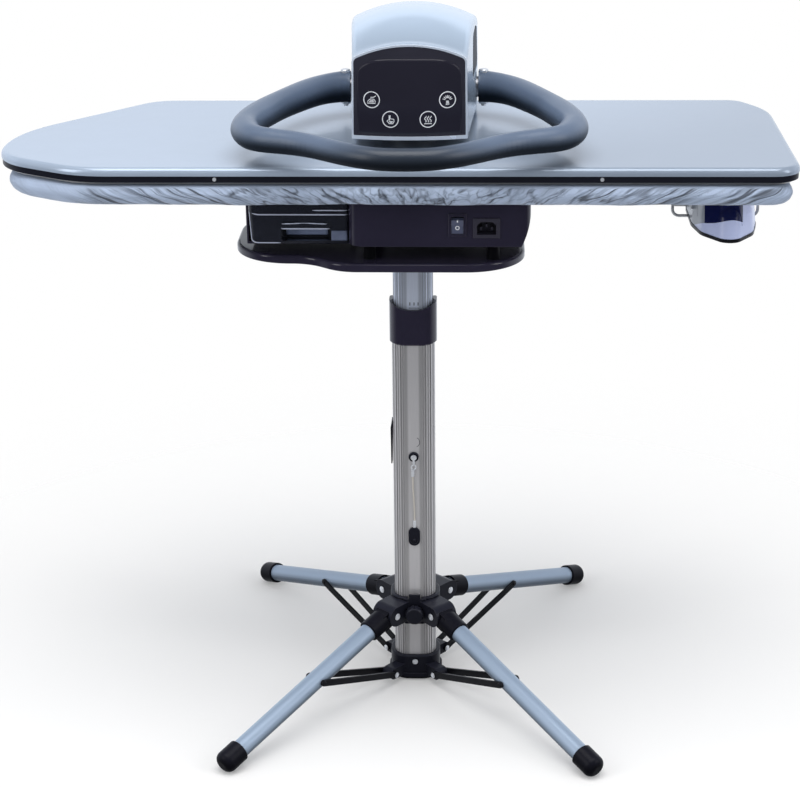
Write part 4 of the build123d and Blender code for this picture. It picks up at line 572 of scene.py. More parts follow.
@dataclass(frozen=True)
class Extrusion(DrawnMetal):
    """The column's brushed extrusion with ribs at its sides."""

    def pattern(self, sheet: Sheet, drift: Socket) -> Socket:
        """Paints shade into the ribs' valleys and on the slopes beside the flat band."""
        flutes = Flutes().place(sheet)
        ribs = sheet.times(sheet.spread(flutes["Mask"], 1.0, 0.0), sheet.spread(flutes["Facet shade"], 1.0, 0.35))
        return sheet.times(ribs, sheet.spread(self.brushing(sheet), 0.7, 1.2))

    def relief(self, sheet: Sheet) -> Socket:
        """Cuts the ribs into the lines."""
        return sheet.sums("SUBTRACT", self.brushing(sheet), sheet.times(Flutes().mask(sheet), 8.0))


@dataclass(frozen=True)
class PaintedSweepLacquer(Finish):
    """A finish with a painted reflection, whose tone sweeps softly from a dark side to a light side.

    Attributes:
        start: the place where the painted reflection is darkest, in metres.
        reach: the way from there to where the painted reflection is lightest.
    """

    start: tuple[float, float, float] = (0.0, 0.0, 0.0)
    reach: tuple[float, float, float] = (0.0, 0.0, 1.0)

    def pattern(self, sheet: Sheet, drift: Socket) -> Socket:
        """Sweeps the painted reflection's tone, with a little of the slow drift."""
        ways = {f"{word}_{axis}": value for word, places in (("from", self.start), ("along", self.reach))
                for axis, value in zip("xyz", places)}
        return sheet.times(PaintedLightSweep().mask(sheet, **ways), sheet.spread(drift, 0.9, 1.0))


@dataclass(frozen=True)
class Cotton(Finish):
    """A woven cloth.

    Attributes:
        thread: the width of one thread in metres.
    """

    thread: float = 0.0009

    def pattern(self, sheet: Sheet, drift: Socket) -> Socket:
        """Mottles the weave with the slow drift."""
        weave = Weave().mask(sheet, thread=self.thread)
        return sheet.times(sheet.spread(weave, 0.5, 1.0), sheet.spread(drift, 0.6, 1.0))

    def toned(self, sheet: Sheet, colour: Socket) -> Socket:
        """Paints shade on the cloth in a crease's valley."""
        valley = sheet.node("Attribute", attribute_name=VALLEY_SHADE).outputs["Fac"]
        return sheet.mixed(valley, colour, lighter(self.colour, -0.82))

    def relief(self, sheet: Sheet) -> Socket:
        """Raises the threads."""
        return sheet.sums("ADD", Weave().mask(sheet, thread=self.thread), super().relief(sheet))


@dataclass(frozen=True)
class CreasedCotton(Cotton):
    """A woven cloth with sharp creases.

    Attributes:
        crease: how deep the creases are, against the threads.
    """

    crease: float = 14.0

    def creased(self, sheet: Sheet) -> Socket:
        """Places a wide and a fine set of creases and gives how deep they are together, for their relief and
        their painted shade.
        """
        wide = Creases().mask(sheet, count=40.0, sharpness=17.0)
        fine = Creases().mask(sheet, count=88.0, sharpness=12.0)
        return sheet.sums("ADD", sheet.spread(wide, 0.0, 0.80), sheet.spread(fine, 0.0, 0.45))

    def toned(self, sheet: Sheet, colour: Socket) -> Socket:
        """Paints shade into the creases too."""
        return sheet.mixed(self.creased(sheet), super().toned(sheet, colour), lighter(self.colour, -0.80))

    def relief(self, sheet: Sheet) -> Socket:
        """Cuts the creases into the threads."""
        return sheet.sums("SUBTRACT", super().relief(sheet), sheet.times(self.creased(sheet), self.crease))


@dataclass(frozen=True)
class IronSkin(Finish):
    """The iron's lilac moulding with its navy tank and its grey block in front.

    Attributes:
        navy: the tank's colour.
        grey: the block's colour.
    """

    navy: Colour = (0.003, 0.006, 0.055)
    grey: Colour = (0.30, 0.325, 0.37)

    def toned(self, sheet: Sheet, colour: Socket) -> Socket:
        """Lays the tank's and the block's colours over the lilac."""
        for tone, left, right in ((self.navy, 0.3755, 0.4215), (self.grey, 0.3400, 0.3755)):
            patch = Patch().mask(sheet, left=left, right=right, foot=0.7130, nose=-0.130)
            colour = sheet.mixed(patch, colour, tone)
        return colour


@dataclass(frozen=True)
class Smoke(Finish):
    """A clear moulding with a tint.

    Attributes:
        clarity: how much light passes through.
    """

    clarity: float = 0.6

    def dress(self, sheet: Sheet, into: Sockets) -> None:
        """Lets light through the moulding."""
        super().dress(sheet, into)
        sheet.feed(self.clarity, into["Transmission Weight"])
        sheet.feed(1.4, into["IOR"])


FINISHES: dict[str, Finish] = {
    # Painted shade in the flutes and on the slopes beside the column's flat front band.
    "brushed_tube": Extrusion("brushed_extrusion", (0.52, 0.508, 0.515), 0.36, 0.45, drift_and_sweep=0.5,
                              depth=0.00006),
    # Painted shade on the legs' downward faces, painted light on their tops.
    "leg_paint": Finish("leg_silver_blue", (0.35, 0.44, 0.565), 0.40, 0.2, drift_and_sweep=0.05, shaded=0.85,
                        dark_at=-0.40, light_at=0.52),
    # Painted shade on downward faces, painted light on upward ones.
    "black_moulding": Finish("hub_black_moulding", (0.020, 0.021, 0.033), 0.30, depth=0.00001,
                             specular=0.22, shaded=0.78, dark_at=-0.3, light_at=0.85),
    # Painted shade on downward faces, painted light on upward ones.
    "black_rubber": Finish("foot_rubber", (0.010, 0.010, 0.014), 0.42, depth=0.00003, specular=0.14,
                           shaded=0.85, dark_at=-0.2, light_at=0.9),
    "bright_fastener": Finish("plated_fastener", (0.80, 0.82, 0.86), 0.34, 0.6, depth=0.000005),
    # Painted shade on downward faces, painted light on upward ones.
    "black_steel": Finish("brace_black_paint", (0.010, 0.010, 0.014), 0.3, grain=0.0008, specular=0.2,
                          shaded=0.8, dark_at=-0.3, light_at=0.8),
    "lanyard_wire": Finish("wire_rope", (0.62, 0.58, 0.52), 0.45, 0.2, depth=0.000005),
    # Its lightened edges are mostly a painted rim highlight.
    "gloss_black": Finish("gloss_black_moulding", (0.023, 0.020, 0.038), 0.13, depth=0.000004, edge_wear_and_glint=0.3,
                          specular=0.36),
    # Its lightened edges are mostly a painted edge highlight.
    "tank_smoke": Smoke("smoky_tank", (0.042, 0.046, 0.066), 0.08, depth=0.000004, edge_wear_and_glint=0.5, edge=0.0009,
                        specular=0.3),
    "circuit_green": Finish("board_green", (0.02, 0.16, 0.06), 0.35, coat=0.4),
    "copper_coil": Finish("pump_coil", (0.5, 0.24, 0.1), 0.4, 0.8),
    "bed_steel": Finish("bed_plate_galvanised", (0.36, 0.37, 0.39), 0.42, 0.8, drift_and_sweep=0.3),
    "felt": Cotton("pad_felt", (0.74, 0.73, 0.70), 0.95, sheen=0.4, depth=0.0001),
    # The cloth darkens in its creases' valleys as painted shade, beside their real relief.
    "cover_cloth": CreasedCotton("silvered_cotton", (0.43, 0.51, 0.655), 0.66, sheen=0.15, depth=0.00008,
                                 drift_and_sweep=0.3, specular=0.3),
    # A painted reflection darkens the platen towards its front right and lightens it towards its rear left.
    "platen_silver": PaintedSweepLacquer("platen_silver_lacquer", (0.385, 0.455, 0.558), 0.22, 0.25, 0.15, 0.0006,
                             0.000001, 0.22, 0.1, specular=0.3, start=(0.30, -0.19, 0.0),
                             reach=(-0.32, 0.26, 0.0)),
    "heat_aluminium": Finish("cast_aluminium", (0.55, 0.55, 0.56), 0.38, 0.9, drift_and_sweep=0.08),
    "element_steel": Finish("element_sheath", (0.3, 0.28, 0.26), 0.5, 0.9),
    # A painted reflection, darker low at the front and lighter towards the top and back of the head.
    "arm_silver": PaintedSweepLacquer("arm_pale_silver", (0.475, 0.575, 0.705), 0.2, 0.3, 0.1, 0.0006, 0.000001, 0.25,
                          0.1, start=(0.0, -0.07, 0.88), reach=(0.0, 0.10, 0.05)),
    "inlay_dark": Finish("inlay_dark_grain", (0.075, 0.083, 0.100), 0.6, depth=0.00004, specular=0.08),
    "bezel_silver": Finish("bezel_satin_silver", (0.68, 0.75, 0.86), 0.25, 0.35, depth=0.000004),
    "touch_glass": Finish("touch_panel_black", (0.030, 0.029, 0.041), 0.16, depth=0.000002, specular=0.25),
    "frame_steel": DrawnMetal("zinc_plated_steel", (0.42, 0.42, 0.44), 0.35, lines=Direction.ALONG_X),
    # A painted reflection darkens the grip towards its front bar; painted shade on its downward faces and
    # painted light on its tops.
    "soft_grip": PaintedSweepLacquer("grip_foam", (0.098, 0.130, 0.188), 0.33, grain=0.0016, depth=0.00016, drift_and_sweep=0.82,
                         edge_wear_and_glint=0.0, specular=0.42, shaded=0.94, dark_at=-0.45, light_at=0.70,
                         start=(0.0, -0.272, 0.0), reach=(0.0, 0.070, 0.0)),
    "iron_lilac": IronSkin("iron_lilac_moulding", (0.56, 0.615, 0.87), 0.24, coat=0.05, drift_and_sweep=0.08,
                           specular=0.3, edge_wear_and_glint=0.0),
    "iron_navy": IronSkin("iron_navy_tank", (0.56, 0.615, 0.87), 0.24, coat=0.05, drift_and_sweep=0.08, specular=0.3,
                          edge_wear_and_glint=0.0),
    "iron_grey": Finish("iron_grey_moulding", (0.34, 0.36, 0.41), 0.35),
    "iron_plate": Finish("iron_black_plate", (0.010, 0.010, 0.013), 0.3, specular=0.12, edge_wear_and_glint=0.0),
    "wire_chrome": Finish("cradle_steel", (0.55, 0.56, 0.58), 0.3, 0.4, depth=0.000002),
}
PRINT_WHITE = Finish("printed_white", (0.85, 0.86, 0.88), 0.4, depth=0.000002, edge_wear_and_glint=0.0)
PRINT_DARK = Finish("printed_dark", (0.03, 0.03, 0.035), 0.4, depth=0.000002, edge_wear_and_glint=0.0)
SCREEN = Finish("screen_black", (0.019, 0.018, 0.028), 0.12, depth=0.000001, edge_wear_and_glint=0.0, drift_and_sweep=0.03,
                specular=0.2)
# Painted highlights, drawn as thin bright beads on the tank's edges.
EDGE_GLINT = Finish("clear_edge_glint", (0.62, 0.66, 0.80), 0.15, coat=0.5, depth=0.000001, edge_wear_and_glint=0.0)
# Pale mottled panes of painted reflection on the tank's window and in its pull.
WINDOW_REFLECTION = Finish("window_painted_reflection", (0.15, 0.175, 0.26), 0.2, coat=0.2, grain=0.004, depth=0.00008,
                      drift_and_sweep=0.7, edge_wear_and_glint=0.0, specular=0.3)
PULL_REFLECTION = Finish("pull_painted_reflection", (0.36, 0.43, 0.64), 0.2, coat=0.2, grain=0.004, depth=0.00012, drift_and_sweep=0.8,
                    edge_wear_and_glint=0.0, specular=0.3)
HEM_COTTON = Cotton("hem_cotton", (0.32, 0.385, 0.51), 0.66, sheen=0.15, depth=0.00008, drift_and_sweep=0.3,
                    specular=0.3)
# Painted shade on downward faces, painted light on upward ones.
LEG_BLACK = Finish("leg_black_moulding", (0.010, 0.010, 0.016), 0.36, depth=0.00001, specular=0.10,
                   shaded=0.8, dark_at=-0.2, light_at=0.9)
OWN_FINISHES: dict[str, Finish] = {
    "rocker_switch": Finish("rocker_slate", (0.085, 0.095, 0.155), 0.35, edge_wear_and_glint=0.3, specular=0.3),
    "mains_inlet": Finish("inlet_slate", (0.040, 0.037, 0.055), 0.35, depth=0.00001, specular=0.3),
    # Painted shade in the flutes and on the slopes beside the flat front band.
    "inner_tube": Extrusion("inner_extrusion", (0.60, 0.65, 0.76), 0.36, 0.45, drift_and_sweep=0.5, depth=0.00006),
    **{"leg_ends_" + corner: LEG_BLACK for corner in ("fl", "fr", "bl", "br")},
}


@dataclass
class Piece:
    """A mesh on its way to a finished piece.

    Attributes:
        name: the piece's name.
        points: its points in metres.
        faces: its faces, as indices of the points.
    """

    name: str
    points: list[Vector]
    faces: list[Face]

    def make(self, finish: Finish, body: str, smooth: bool = True) -> bpy.types.Object:
        """Builds the object, dresses it and lets it ride on its body.

        Args:
            finish: the piece's finish.
            body: the CAD body that it rides on.
            smooth: whether its faces are shaded smooth.

        Returns:
            The new object.
        """
        mesh = bpy.data.meshes.new(self.name)
        mesh.from_pydata(self.points, [], self.faces)
        mesh.validate()
        work = bmesh.new()
        work.from_mesh(mesh)
        bmesh.ops.recalc_face_normals(work, faces=work.faces)
        work.to_mesh(mesh)
        work.free()
        for polygon in mesh.polygons:
            polygon.use_smooth = smooth
        made = bpy.data.objects.new(self.name, mesh)
        bpy.context.scene.collection.objects.link(made)
        made.data.materials.append(finish.material())
        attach(made, body)
        return made


def smooth_step(low: float, high: float, value: float) -> float:
    """Rises smoothly from 0 to 1 as a value goes from low to high."""
    share = min(max((value - low) / (high - low), 0.0), 1.0)
    return share * share * (3 - 2 * share)


def tube_faces(rings: int, sides: int, ends: bool = True, loop: bool = False) -> list[Face]:
    """Lists the faces of a tube whose points are listed ring by ring.

    Args:
        rings: how many rings it has.
        sides: how many points each ring has.
        ends: whether its two ends are filled.
        loop: whether its last ring joins its first one.

    Returns:
        The faces.
    """
    faces: list[Face] = []
    for ring in range(rings if loop else rings - 1):
        near, far = ring * sides, (ring + 1) % rings * sides
        for side in range(sides):
            after = (side + 1) % sides
            faces.append((near + side, near + after, far + after, far + side))
    if ends and not loop:
        faces.append(tuple(reversed(range(sides))))
        faces.append(tuple(range((rings - 1) * sides, rings * sides)))
    return faces


def pane_faces(across: int, high: int, backed: bool) -> list[Face]:
    """Lists the faces of a thin pane: a back layer and a front layer of points, each listed column by column.

    Args:
        across: how many faces it has across.
        high: how many faces it has up.
        backed: whether its back is filled.

    Returns:
        The faces.
    """
    rise = high + 1
    layer = (across + 1) * rise
    faces: list[Face] = []
    for first in (column * rise + row for column in range(across) for row in range(high)):
        if backed:
            faces.append((first, first + 1, first + rise + 1, first + rise))
        faces.append((layer + first, layer + first + rise, layer + first + rise + 1, layer + first + 1))
    rim = [column * rise for column in range(across + 1)]
    rim += [across * rise + row for row in range(1, rise)]
    rim += [column * rise + high for column in range(across - 1, -1, -1)]
    rim += list(range(high - 1, 0, -1))
    faces += [(first, second, second + layer, first + layer) for first, second in zip(rim, rim[1:] + rim[:1])]
    return faces


def frames_along(line: list[Vector]) -> list[tuple[Vector, Vector, Vector]]:
    """Carries a frame along a line without twisting it.

    Args:
        line: the line's points.

    Returns:
        A heading and two directions across it, for each point.
    """
    across = Vector((1.0, 0.0, 0.0))
    frames = []
    for index in range(len(line)):
        heading = (line[min(index + 1, len(line) - 1)] - line[max(index - 1, 0)]).normalized()
        across = (across - heading * across.dot(heading)).normalized()
        frames.append((heading, across, heading.cross(across)))
    return frames


@dataclass
class Studio:
    """The plain studio and the camera at the photograph's viewing angle.

    Attributes:
        place: the camera's place in metres.
        yaw: how far it turns to the left, in degrees.
        pitch: how far it looks down, in degrees.
        roll: how far it tips, in degrees.
        lens: its focal length for a 36 mm sensor.
        room_light: how much light the room gives.
        room_tint: the tint of that light.
        wall_from: the direction towards the back where the mirrored room begins to brighten.
        wall_to: the direction where it is brightest.
        dim_side: how bright its side behind the camera is.
        ceiling_from: the upward direction where the mirrored ceiling begins.
        ceiling_to: the direction where it is dimmest.
        ceiling: how bright it is there.
        floor_reach: the floor's radius in metres.
        floor_clear: the radius inside which it shows fully.
        floor_glow: the light that it gives of its own to the camera.
        floor_tone: its colour.
        floor_dull: how much of it is missing from reflections.
    """

    place: tuple[float, float, float] = (0.0912, -2.5625, 1.4204)
    yaw: float = 2.463
    pitch: float = 21.155
    roll: float = -0.610
    lens: float = 90.16
    room_light: float = 0.52
    room_tint: Colour = (0.93, 0.98, 1.06)
    wall_from: float = -0.35
    wall_to: float = 0.30
    dim_side: float = 0.08
    ceiling_from: float = 0.42
    ceiling_to: float = 0.62
    ceiling: float = 0.30
    floor_reach: float = 1.35
    floor_clear: float = 0.34
    floor_glow: float = 0.19
    floor_tone: Colour = (0.80, 0.785, 0.765)
    floor_dull: float = 0.55

    def camera(self) -> None:
        """Sets the camera up."""
        yaw, pitch, roll = (math.radians(value) for value in (self.yaw, self.pitch, self.roll))
        ahead = Vector((-math.sin(yaw) * math.cos(pitch), math.cos(yaw) * math.cos(pitch), -math.sin(pitch)))
        level = Vector((math.cos(yaw), math.sin(yaw), 0.0))
        upward = level.cross(ahead)
        right = level * math.cos(roll) + upward * math.sin(roll)
        above = upward * math.cos(roll) - level * math.sin(roll)
        data = bpy.data.cameras.new("studio_camera")
        data.lens = self.lens
        data.sensor_width = 36.0
        data.clip_end = 60.0
        made = bpy.data.objects.new("studio_camera", data)
        turned = Matrix((right, above, -ahead)).transposed().to_4x4()
        made.matrix_world = Matrix.Translation(self.place) @ turned
        bpy.context.scene.collection.objects.link(made)
        bpy.context.scene.camera = made

    def lamp(self, name: str, place: tuple[float, float, float], size: tuple[float, float],
             watts: float) -> None:
        """Hangs one soft box that faces the press.

        Args:
            name: the lamp's name.
            place: its place in metres.
            size: its width and height in metres.
            watts: its power.
        """
        data = bpy.data.lights.new(name, "AREA")
        data.shape = "RECTANGLE"
        data.size, data.size_y = size
        data.energy = watts
        made = bpy.data.objects.new(name, data)
        made.location = place
        aim = Vector((0.0, 0.0, 0.6)) - Vector(place)
        made.rotation_euler = aim.to_track_quat("-Z", "Y").to_euler()
        bpy.context.scene.collection.objects.link(made)

    def backdrop(self) -> None:
        """Surrounds the press with a white room, dimmer as a light and, in gloss, on the camera's side."""
        world = bpy.data.worlds.new("white_room")
        bpy.context.scene.world = world
        world.use_nodes = True
        world.node_tree.nodes.clear()
        sheet = Sheet(world.node_tree)
        path = sheet.node("LightPath").outputs
        _, back, up = sheet.axes(sheet.place("Generated"))
        wall = sheet.eased(back, self.wall_from, self.wall_to, low=self.dim_side)
        ceiling = sheet.eased(up, self.ceiling_from, self.ceiling_to, 1.0, self.ceiling)
        shining = sheet.times(sheet.times(wall, ceiling), path["Is Glossy Ray"])
        seen = sheet.sums("MAXIMUM", path["Is Camera Ray"], path["Is Transmission Ray"])
        plain = sheet.times(sheet.spread(path["Is Glossy Ray"], 1.0, 0.0), self.room_light)
        level = sheet.sums("MAXIMUM", plain, sheet.sums("MAXIMUM", seen, shining))
        tint = sheet.mixed(seen, self.room_tint, (1.0, 1.0, 1.0))
        light = sheet.node("Background", Strength=level, Color=tint)
        sheet.node("OutputWorld", Surface=light.outputs[0])

    def floor(self) -> None:
        """Lays a round white floor that keeps the press's shadow and fades into the white room."""
        sides = 96
        turns = [TURN * side / sides for side in range(sides)]
        mesh = bpy.data.meshes.new("studio_floor")
        rim = [(self.floor_reach * math.cos(turn), self.floor_reach * math.sin(turn), 0) for turn in turns]
        mesh.from_pydata(rim, [], [tuple(range(sides))])
        made = bpy.data.objects.new("studio_floor", mesh)
        bpy.context.scene.collection.objects.link(made)
        material = bpy.data.materials.new("studio_floor")
        material.use_nodes = True
        material.node_tree.nodes.clear()
        sheet = Sheet(material.node_tree)
        path = sheet.node("LightPath").outputs
        direct = sheet.sums("MAXIMUM", path["Is Camera Ray"], path["Is Transmission Ray"])
        seen = sheet.sums("MAXIMUM", direct, path["Is Glossy Ray"])
        paper = sheet.node("BsdfDiffuse", Color=(*self.floor_tone, 1.0))
        glow = sheet.node("Emission", Strength=sheet.spread(direct, 0.0, self.floor_glow))
        lit = sheet.node("AddShader")
        sheet.feed(paper.outputs[0], lit.inputs[0])
        sheet.feed(glow.outputs[0], lit.inputs[1])
        fade = sheet.eased(sheet.vector("LENGTH", sheet.place()), self.floor_clear, self.floor_reach * 0.95)
        dulled = sheet.spread(path["Is Glossy Ray"], 0.0, self.floor_dull)
        faded = sheet.node("MixShader", Fac=sheet.sums("MAXIMUM", sheet.times(fade, seen), dulled))
        sheet.feed(lit.outputs[0], faded.inputs[1])
        sheet.feed(sheet.node("BsdfTransparent").outputs[0], faded.inputs[2])
        sheet.node("OutputMaterial", Surface=faded.outputs[0])
        made.data.materials.append(material)

    def build(self) -> None:
        """Builds the whole studio, with a soft box overhead and one at each side in front."""
        self.camera()
        self.lamp("overhead_box", (0.0, -0.5, 3.2), (2.6, 2.0), 60.0)
        self.lamp("left_box", (-2.4, -1.6, 1.6), (1.0, 2.0), 22.0)
        self.lamp("right_box", (2.6, -1.2, 1.7), (0.9, 2.0), 20.0)
        self.backdrop()
        self.floor()
        bpy.context.scene.view_settings.view_transform = "Standard"


@dataclass
class Lanyard:
    """The wire rope between the lock pin's ring and its anchor.

    Attributes:
        route: the points that the rope's line follows, from the anchor up to the ring.
        diameter: the rope's diameter.
        length: its real length; not used.
        crimp_length: the length of the ferrule at each end.
        crimp_profile: the ferrule's shape, as shares of its length and of the rope's diameter.
        strands: how many strands are twisted together.
        lay_length: the length of one twist.
    """

    route: tuple[tuple[float, float, float], ...] = (
        (0.0004, -0.0267, 0.2380),
        (0.0009, -0.0267, 0.2600),
        (-0.0006, -0.0269, 0.2850),
        (-0.0016, -0.0272, 0.3060),
        (-0.0013, -0.0276, 0.3264),
    )
    diameter: float = 0.0024
    length: float = 0.0885
    crimp_length: float = 0.011
    crimp_profile: tuple[tuple[float, float], ...] = (
        (0.0, 0.55), (0.02, 0.82), (0.10, 0.92), (0.26, 0.76), (0.5, 0.92), (0.74, 0.76), (0.90, 0.92),
        (1.0, 0.62))
    strands: int = 6
    lay_length: float = 0.016

    def line(self) -> list[Vector]:
        """Reads points along the rope's smooth line.

        Returns:
            The points, from the anchor to the ring.
        """
        curve = bpy.data.curves.new("lanyard_line", "CURVE")
        curve.dimensions = "3D"
        curve.resolution_u = 24
        spline = curve.splines.new("NURBS")
        spline.points.add(len(self.route) - 1)
        for point, place in zip(spline.points, self.route):
            point.co = (*place, 1.0)
        spline.order_u = 3
        spline.use_endpoint_u = True
        carrier = bpy.data.objects.new("lanyard_line", curve)
        bpy.context.scene.collection.objects.link(carrier)
        bpy.context.view_layer.update()
        mesh = bpy.data.meshes.new_from_object(carrier)
        points = [vertex.co.copy() for vertex in mesh.vertices]
        bpy.data.objects.remove(carrier)
        bpy.data.meshes.remove(mesh)
        return points

    def rope(self, line: list[Vector]) -> bpy.types.Object:
        """Makes the rope along a line, with its strands twisted round it."""
        sides = self.strands * 6
        points = []
        travelled = 0.0
        for index, (place, (_, across, aside)) in enumerate(zip(line, frames_along(line))):
            if index:
                travelled += (place - line[index - 1]).length
            for side in range(sides):
                angle = TURN * side / sides
                turned = angle + TURN * travelled / self.lay_length
                radius = self.diameter / 2 * (0.93 + 0.07 * abs(math.cos(self.strands * angle / 2)))
                points.append(place + (across * math.cos(turned) + aside * math.sin(turned)) * radius)
        piece = Piece("lanyard_rope", points, tube_faces(len(line), sides))
        return piece.make(FINISHES["lanyard_wire"], "stand")

    def crimp(self, name: str, place: Vector, heading: Vector, body: str) -> bpy.types.Object:
        """Makes one pressed ferrule round the rope's end.

        Args:
            name: its name.
            place: the rope's end.
            heading: the rope's direction into the ferrule.
            body: the body that it rides on.

        Returns:
            The ferrule.
        """
        line = [place + heading * self.crimp_length * share for share, _ in self.crimp_profile]
        sides = 24
        points = []
        for (_, width), centre, (_, across, aside) in zip(self.crimp_profile, line, frames_along(line)):
            for side in range(sides):
                angle = TURN * side / sides
                flat = 1.0 - 0.12 * abs(math.sin(angle)) ** 3
                reach = across * math.cos(angle) + aside * math.sin(angle) * flat
                points.append(centre + reach * self.diameter * width)
        piece = Piece(name, points, tube_faces(len(line), sides))
        return piece.make(FINISHES["bright_fastener"], body)

    def build(self) -> None:
        """Builds the rope with its two ferrules."""
        line = self.line()
        rope = self.rope(line)
        low = self.crimp("lanyard_low_crimp", line[0], (line[4] - line[0]).normalized(), "stand")
        high = self.crimp("lanyard_high_crimp", line[-1], (line[-5] - line[-1]).normalized(), "pin")
        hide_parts("pin_lanyard")
        rope.parent = None
        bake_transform(rope)


def dress_nodes() -> None:
    """Gives every CAD node its own finish, or else the finish of its slot in the record."""
    for part in frame["record"]["subparts"]:
        node = frame["nodes"][part["node"]]
        node.data.materials.clear()
        node.data.materials.append(OWN_FINISHES.get(part["node"], FINISHES[part["material_slot"]]).material())
        for polygon in node.data.polygons:
            polygon.material_index = 0


@dataclass
class FittedCover:
    """The gathered cotton cover and the felt pad under it.

    Attributes:
        step: the distance between the cover's columns of points.
        seed: the seed of its creases.
        slant: how far a crease leans over the skirt's height.
        turning_x: the place along the press where the creases' lean turns over.
        turning_reach: the distance over which it turns.
        rows: how many rows of points the skirt has.
        top_rings: how many rings of points the top has.
        flat: the cloth's flat size; not used.
        skirt_shape: the skirt from the shoulder to the hem, as insets in metres and shares of its height.
    """

    step: float = 0.0016
    seed: int = 11
    slant: float = 0.075
    turning_x: float = 0.02
    turning_reach: float = 0.22
    rows: int = 26
    top_rings: int = 14
    flat: tuple[float, float] = (1.09, 0.475)
    skirt_shape: tuple[tuple[float, float], ...] = (
        (0.0110, 0.0), (0.0044, 0.10), (0.0011, 0.33), (0.0005, 0.47), (0.0009, 0.58), (0.0034, 0.79),
        (0.0070, 0.92), (0.0122, 1.0), (0.0200, 0.97))

    def corners(self) -> list[tuple[Vector, float]]:
        """Lists the plan's corners from the cover's own box, each with its radius in metres."""
        low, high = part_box("bed_cover")
        share = 0.93
        return [
            (Vector((low.x + 0.100, low.y)), 0.118 * share),
            (Vector((low.x, low.y + 0.060)), 0.086 * share),
            (Vector((low.x, high.y - 0.193)), 0.180 * share),
            (Vector((low.x + 0.162, high.y)), 0.060 * share),
            (Vector((high.x - 0.036, high.y)), 0.030 * share),
            (Vector((high.x, high.y - 0.062)), 0.120 * share),
            (Vector((high.x, low.y)), 0.035 * share),
        ]

    def outline(self) -> list[tuple[Vector, Vector]]:
        """Walks round the plan, from the middle of its rear.

        Returns:
            Evenly spaced points of the outline, each with its outward direction.
        """
        corners = self.corners()
        dense: list[tuple[Vector, Vector]] = []
        for index, (corner, radius) in enumerate(corners):
            before = (corners[index - 1][0] - corner).normalized()
            after = (corners[(index + 1) % len(corners)][0] - corner).normalized()
            half = math.acos(max(-1.0, min(1.0, before.dot(after)))) / 2
            centre = corner + (before + after).normalized() * (radius / math.sin(half))
            start = corner + before * (radius / math.tan(half)) - centre
            end = corner + after * (radius / math.tan(half)) - centre
            turn = math.atan2(start.x * end.y - start.y * end.x, start.dot(end))
            steps = max(int(abs(turn) * radius / 0.001), 8)
            for part in range(steps + 1):
                angle = turn * part / steps
                spoke = Vector((start.x * math.cos(angle) - start.y * math.sin(angle),
                                start.x * math.sin(angle) + start.y * math.cos(angle)))
                dense.append((centre + spoke, spoke.normalized()))
        lengths = [0.0]
        for (place, _), (ahead, _) in zip(dense, dense[1:] + dense[:1]):
            lengths.append(lengths[-1] + (ahead - place).length)
        total = lengths[-1]
        samples = int(total / self.step)
        walked: list[tuple[Vector, Vector]] = []
        at = 0
        for sample in range(samples):
            goal = total * sample / samples
            while lengths[at + 1] < goal:
                at += 1
            share = (goal - lengths[at]) / max(lengths[at + 1] - lengths[at], 1e-9)
            (place, out), (ahead, out_ahead) = dense[at % len(dense)], dense[(at + 1) % len(dense)]
            walked.append((place.lerp(ahead, share), out.lerp(out_ahead, share).normalized()))
        rear = max(range(samples), key=lambda sample: walked[sample][0].y - abs(walked[sample][0].x))
        return walked[rear:] + walked[:rear]

    def lean(self, place: Vector) -> float:
        """Gives how far the creases lean at a place in plan, from -1 to 1."""
        return max(-1.0, min(1.0, (self.turning_x - place.x) / self.turning_reach))

    def valley(self, along: float, down: float, place: Vector, pitch: float, seed: int) -> float:
        """Finds how deep in a crease one place of the skirt lies.

        Args:
            along: the distance round the outline in metres.
            down: how far down the skirt the place is, from 0 at the shoulder to 1 at the hem.
            place: the place in plan.
            pitch: how many creases come in a metre.
            seed: the seed of this set of creases.

        Returns:
            The depth, from 0 to 1.
        """
        bent = 0.012 * noise.noise(Vector((along * 16, down * 1.4, seed + 0.5)))
        across = (along + self.slant * self.lean(place) * down + bent) * pitch
        near = abs(noise.noise(Vector((across, down * 0.5, seed + 0.37))))
        present = smooth_step(-0.35, 0.0, noise.noise(Vector((along * 9, down * 1.3, seed + 2.5))))
        return max(0.0, 1.0 - near * 8.0) ** 1.4 * present

    def relief(self, along: float, down: float, place: Vector) -> tuple[float, float]:
        """Gives the cloth's relief at one place of the skirt.

        Args:
            along: the distance round the outline in metres.
            down: how far down the skirt the place is.
            place: the place in plan.

        Returns:
            The relief in metres, outwards, and how much painted shade the valley there gets.
        """
        body = math.sin(math.pi * min(0.06 + down * 1.02, 1.0)) ** 0.5
        calm = 0.25 + 0.75 * smooth_step(-0.44, -0.36, place.x)
        deep = self.valley(along, down, place, 24.0, self.seed) * calm
        small = self.valley(along, down, place, 58.0, self.seed + 9) * calm
        puff = noise.noise(Vector((along * 13, down * 0.8, self.seed + 3)))
        gather = noise.noise(Vector((along * 150, 0.0, self.seed + 5))) * smooth_step(0.7, 1.0, down)
        height = (0.0014 * puff - 0.0030 * deep - 0.0013 * small) * body + 0.0009 * gather
        return height, min(1.0, 0.50 * deep + 0.30 * small) * body

    def folds(self, along: float, down: float, place: Vector) -> tuple[float, float, float, float]:
        """Gives the place in the cloth's own measure, leaning with the creases, and how creased it is."""
        crossed = smooth_step(0.34, 0.06, abs(place.x - self.turning_x))
        bent = 0.006 * noise.noise(Vector((along * 22, down * 1.6, self.seed + 7.5)))
        lively = (0.12 + 0.88 * smooth_step(-0.44, -0.37, place.x)) * smooth_step(0.02, 0.16, down)
        leaning = along + self.slant * self.lean(place) * down + bent
        return leaning, down * (0.010 + 0.030 * crossed), self.seed * 1.0, lively

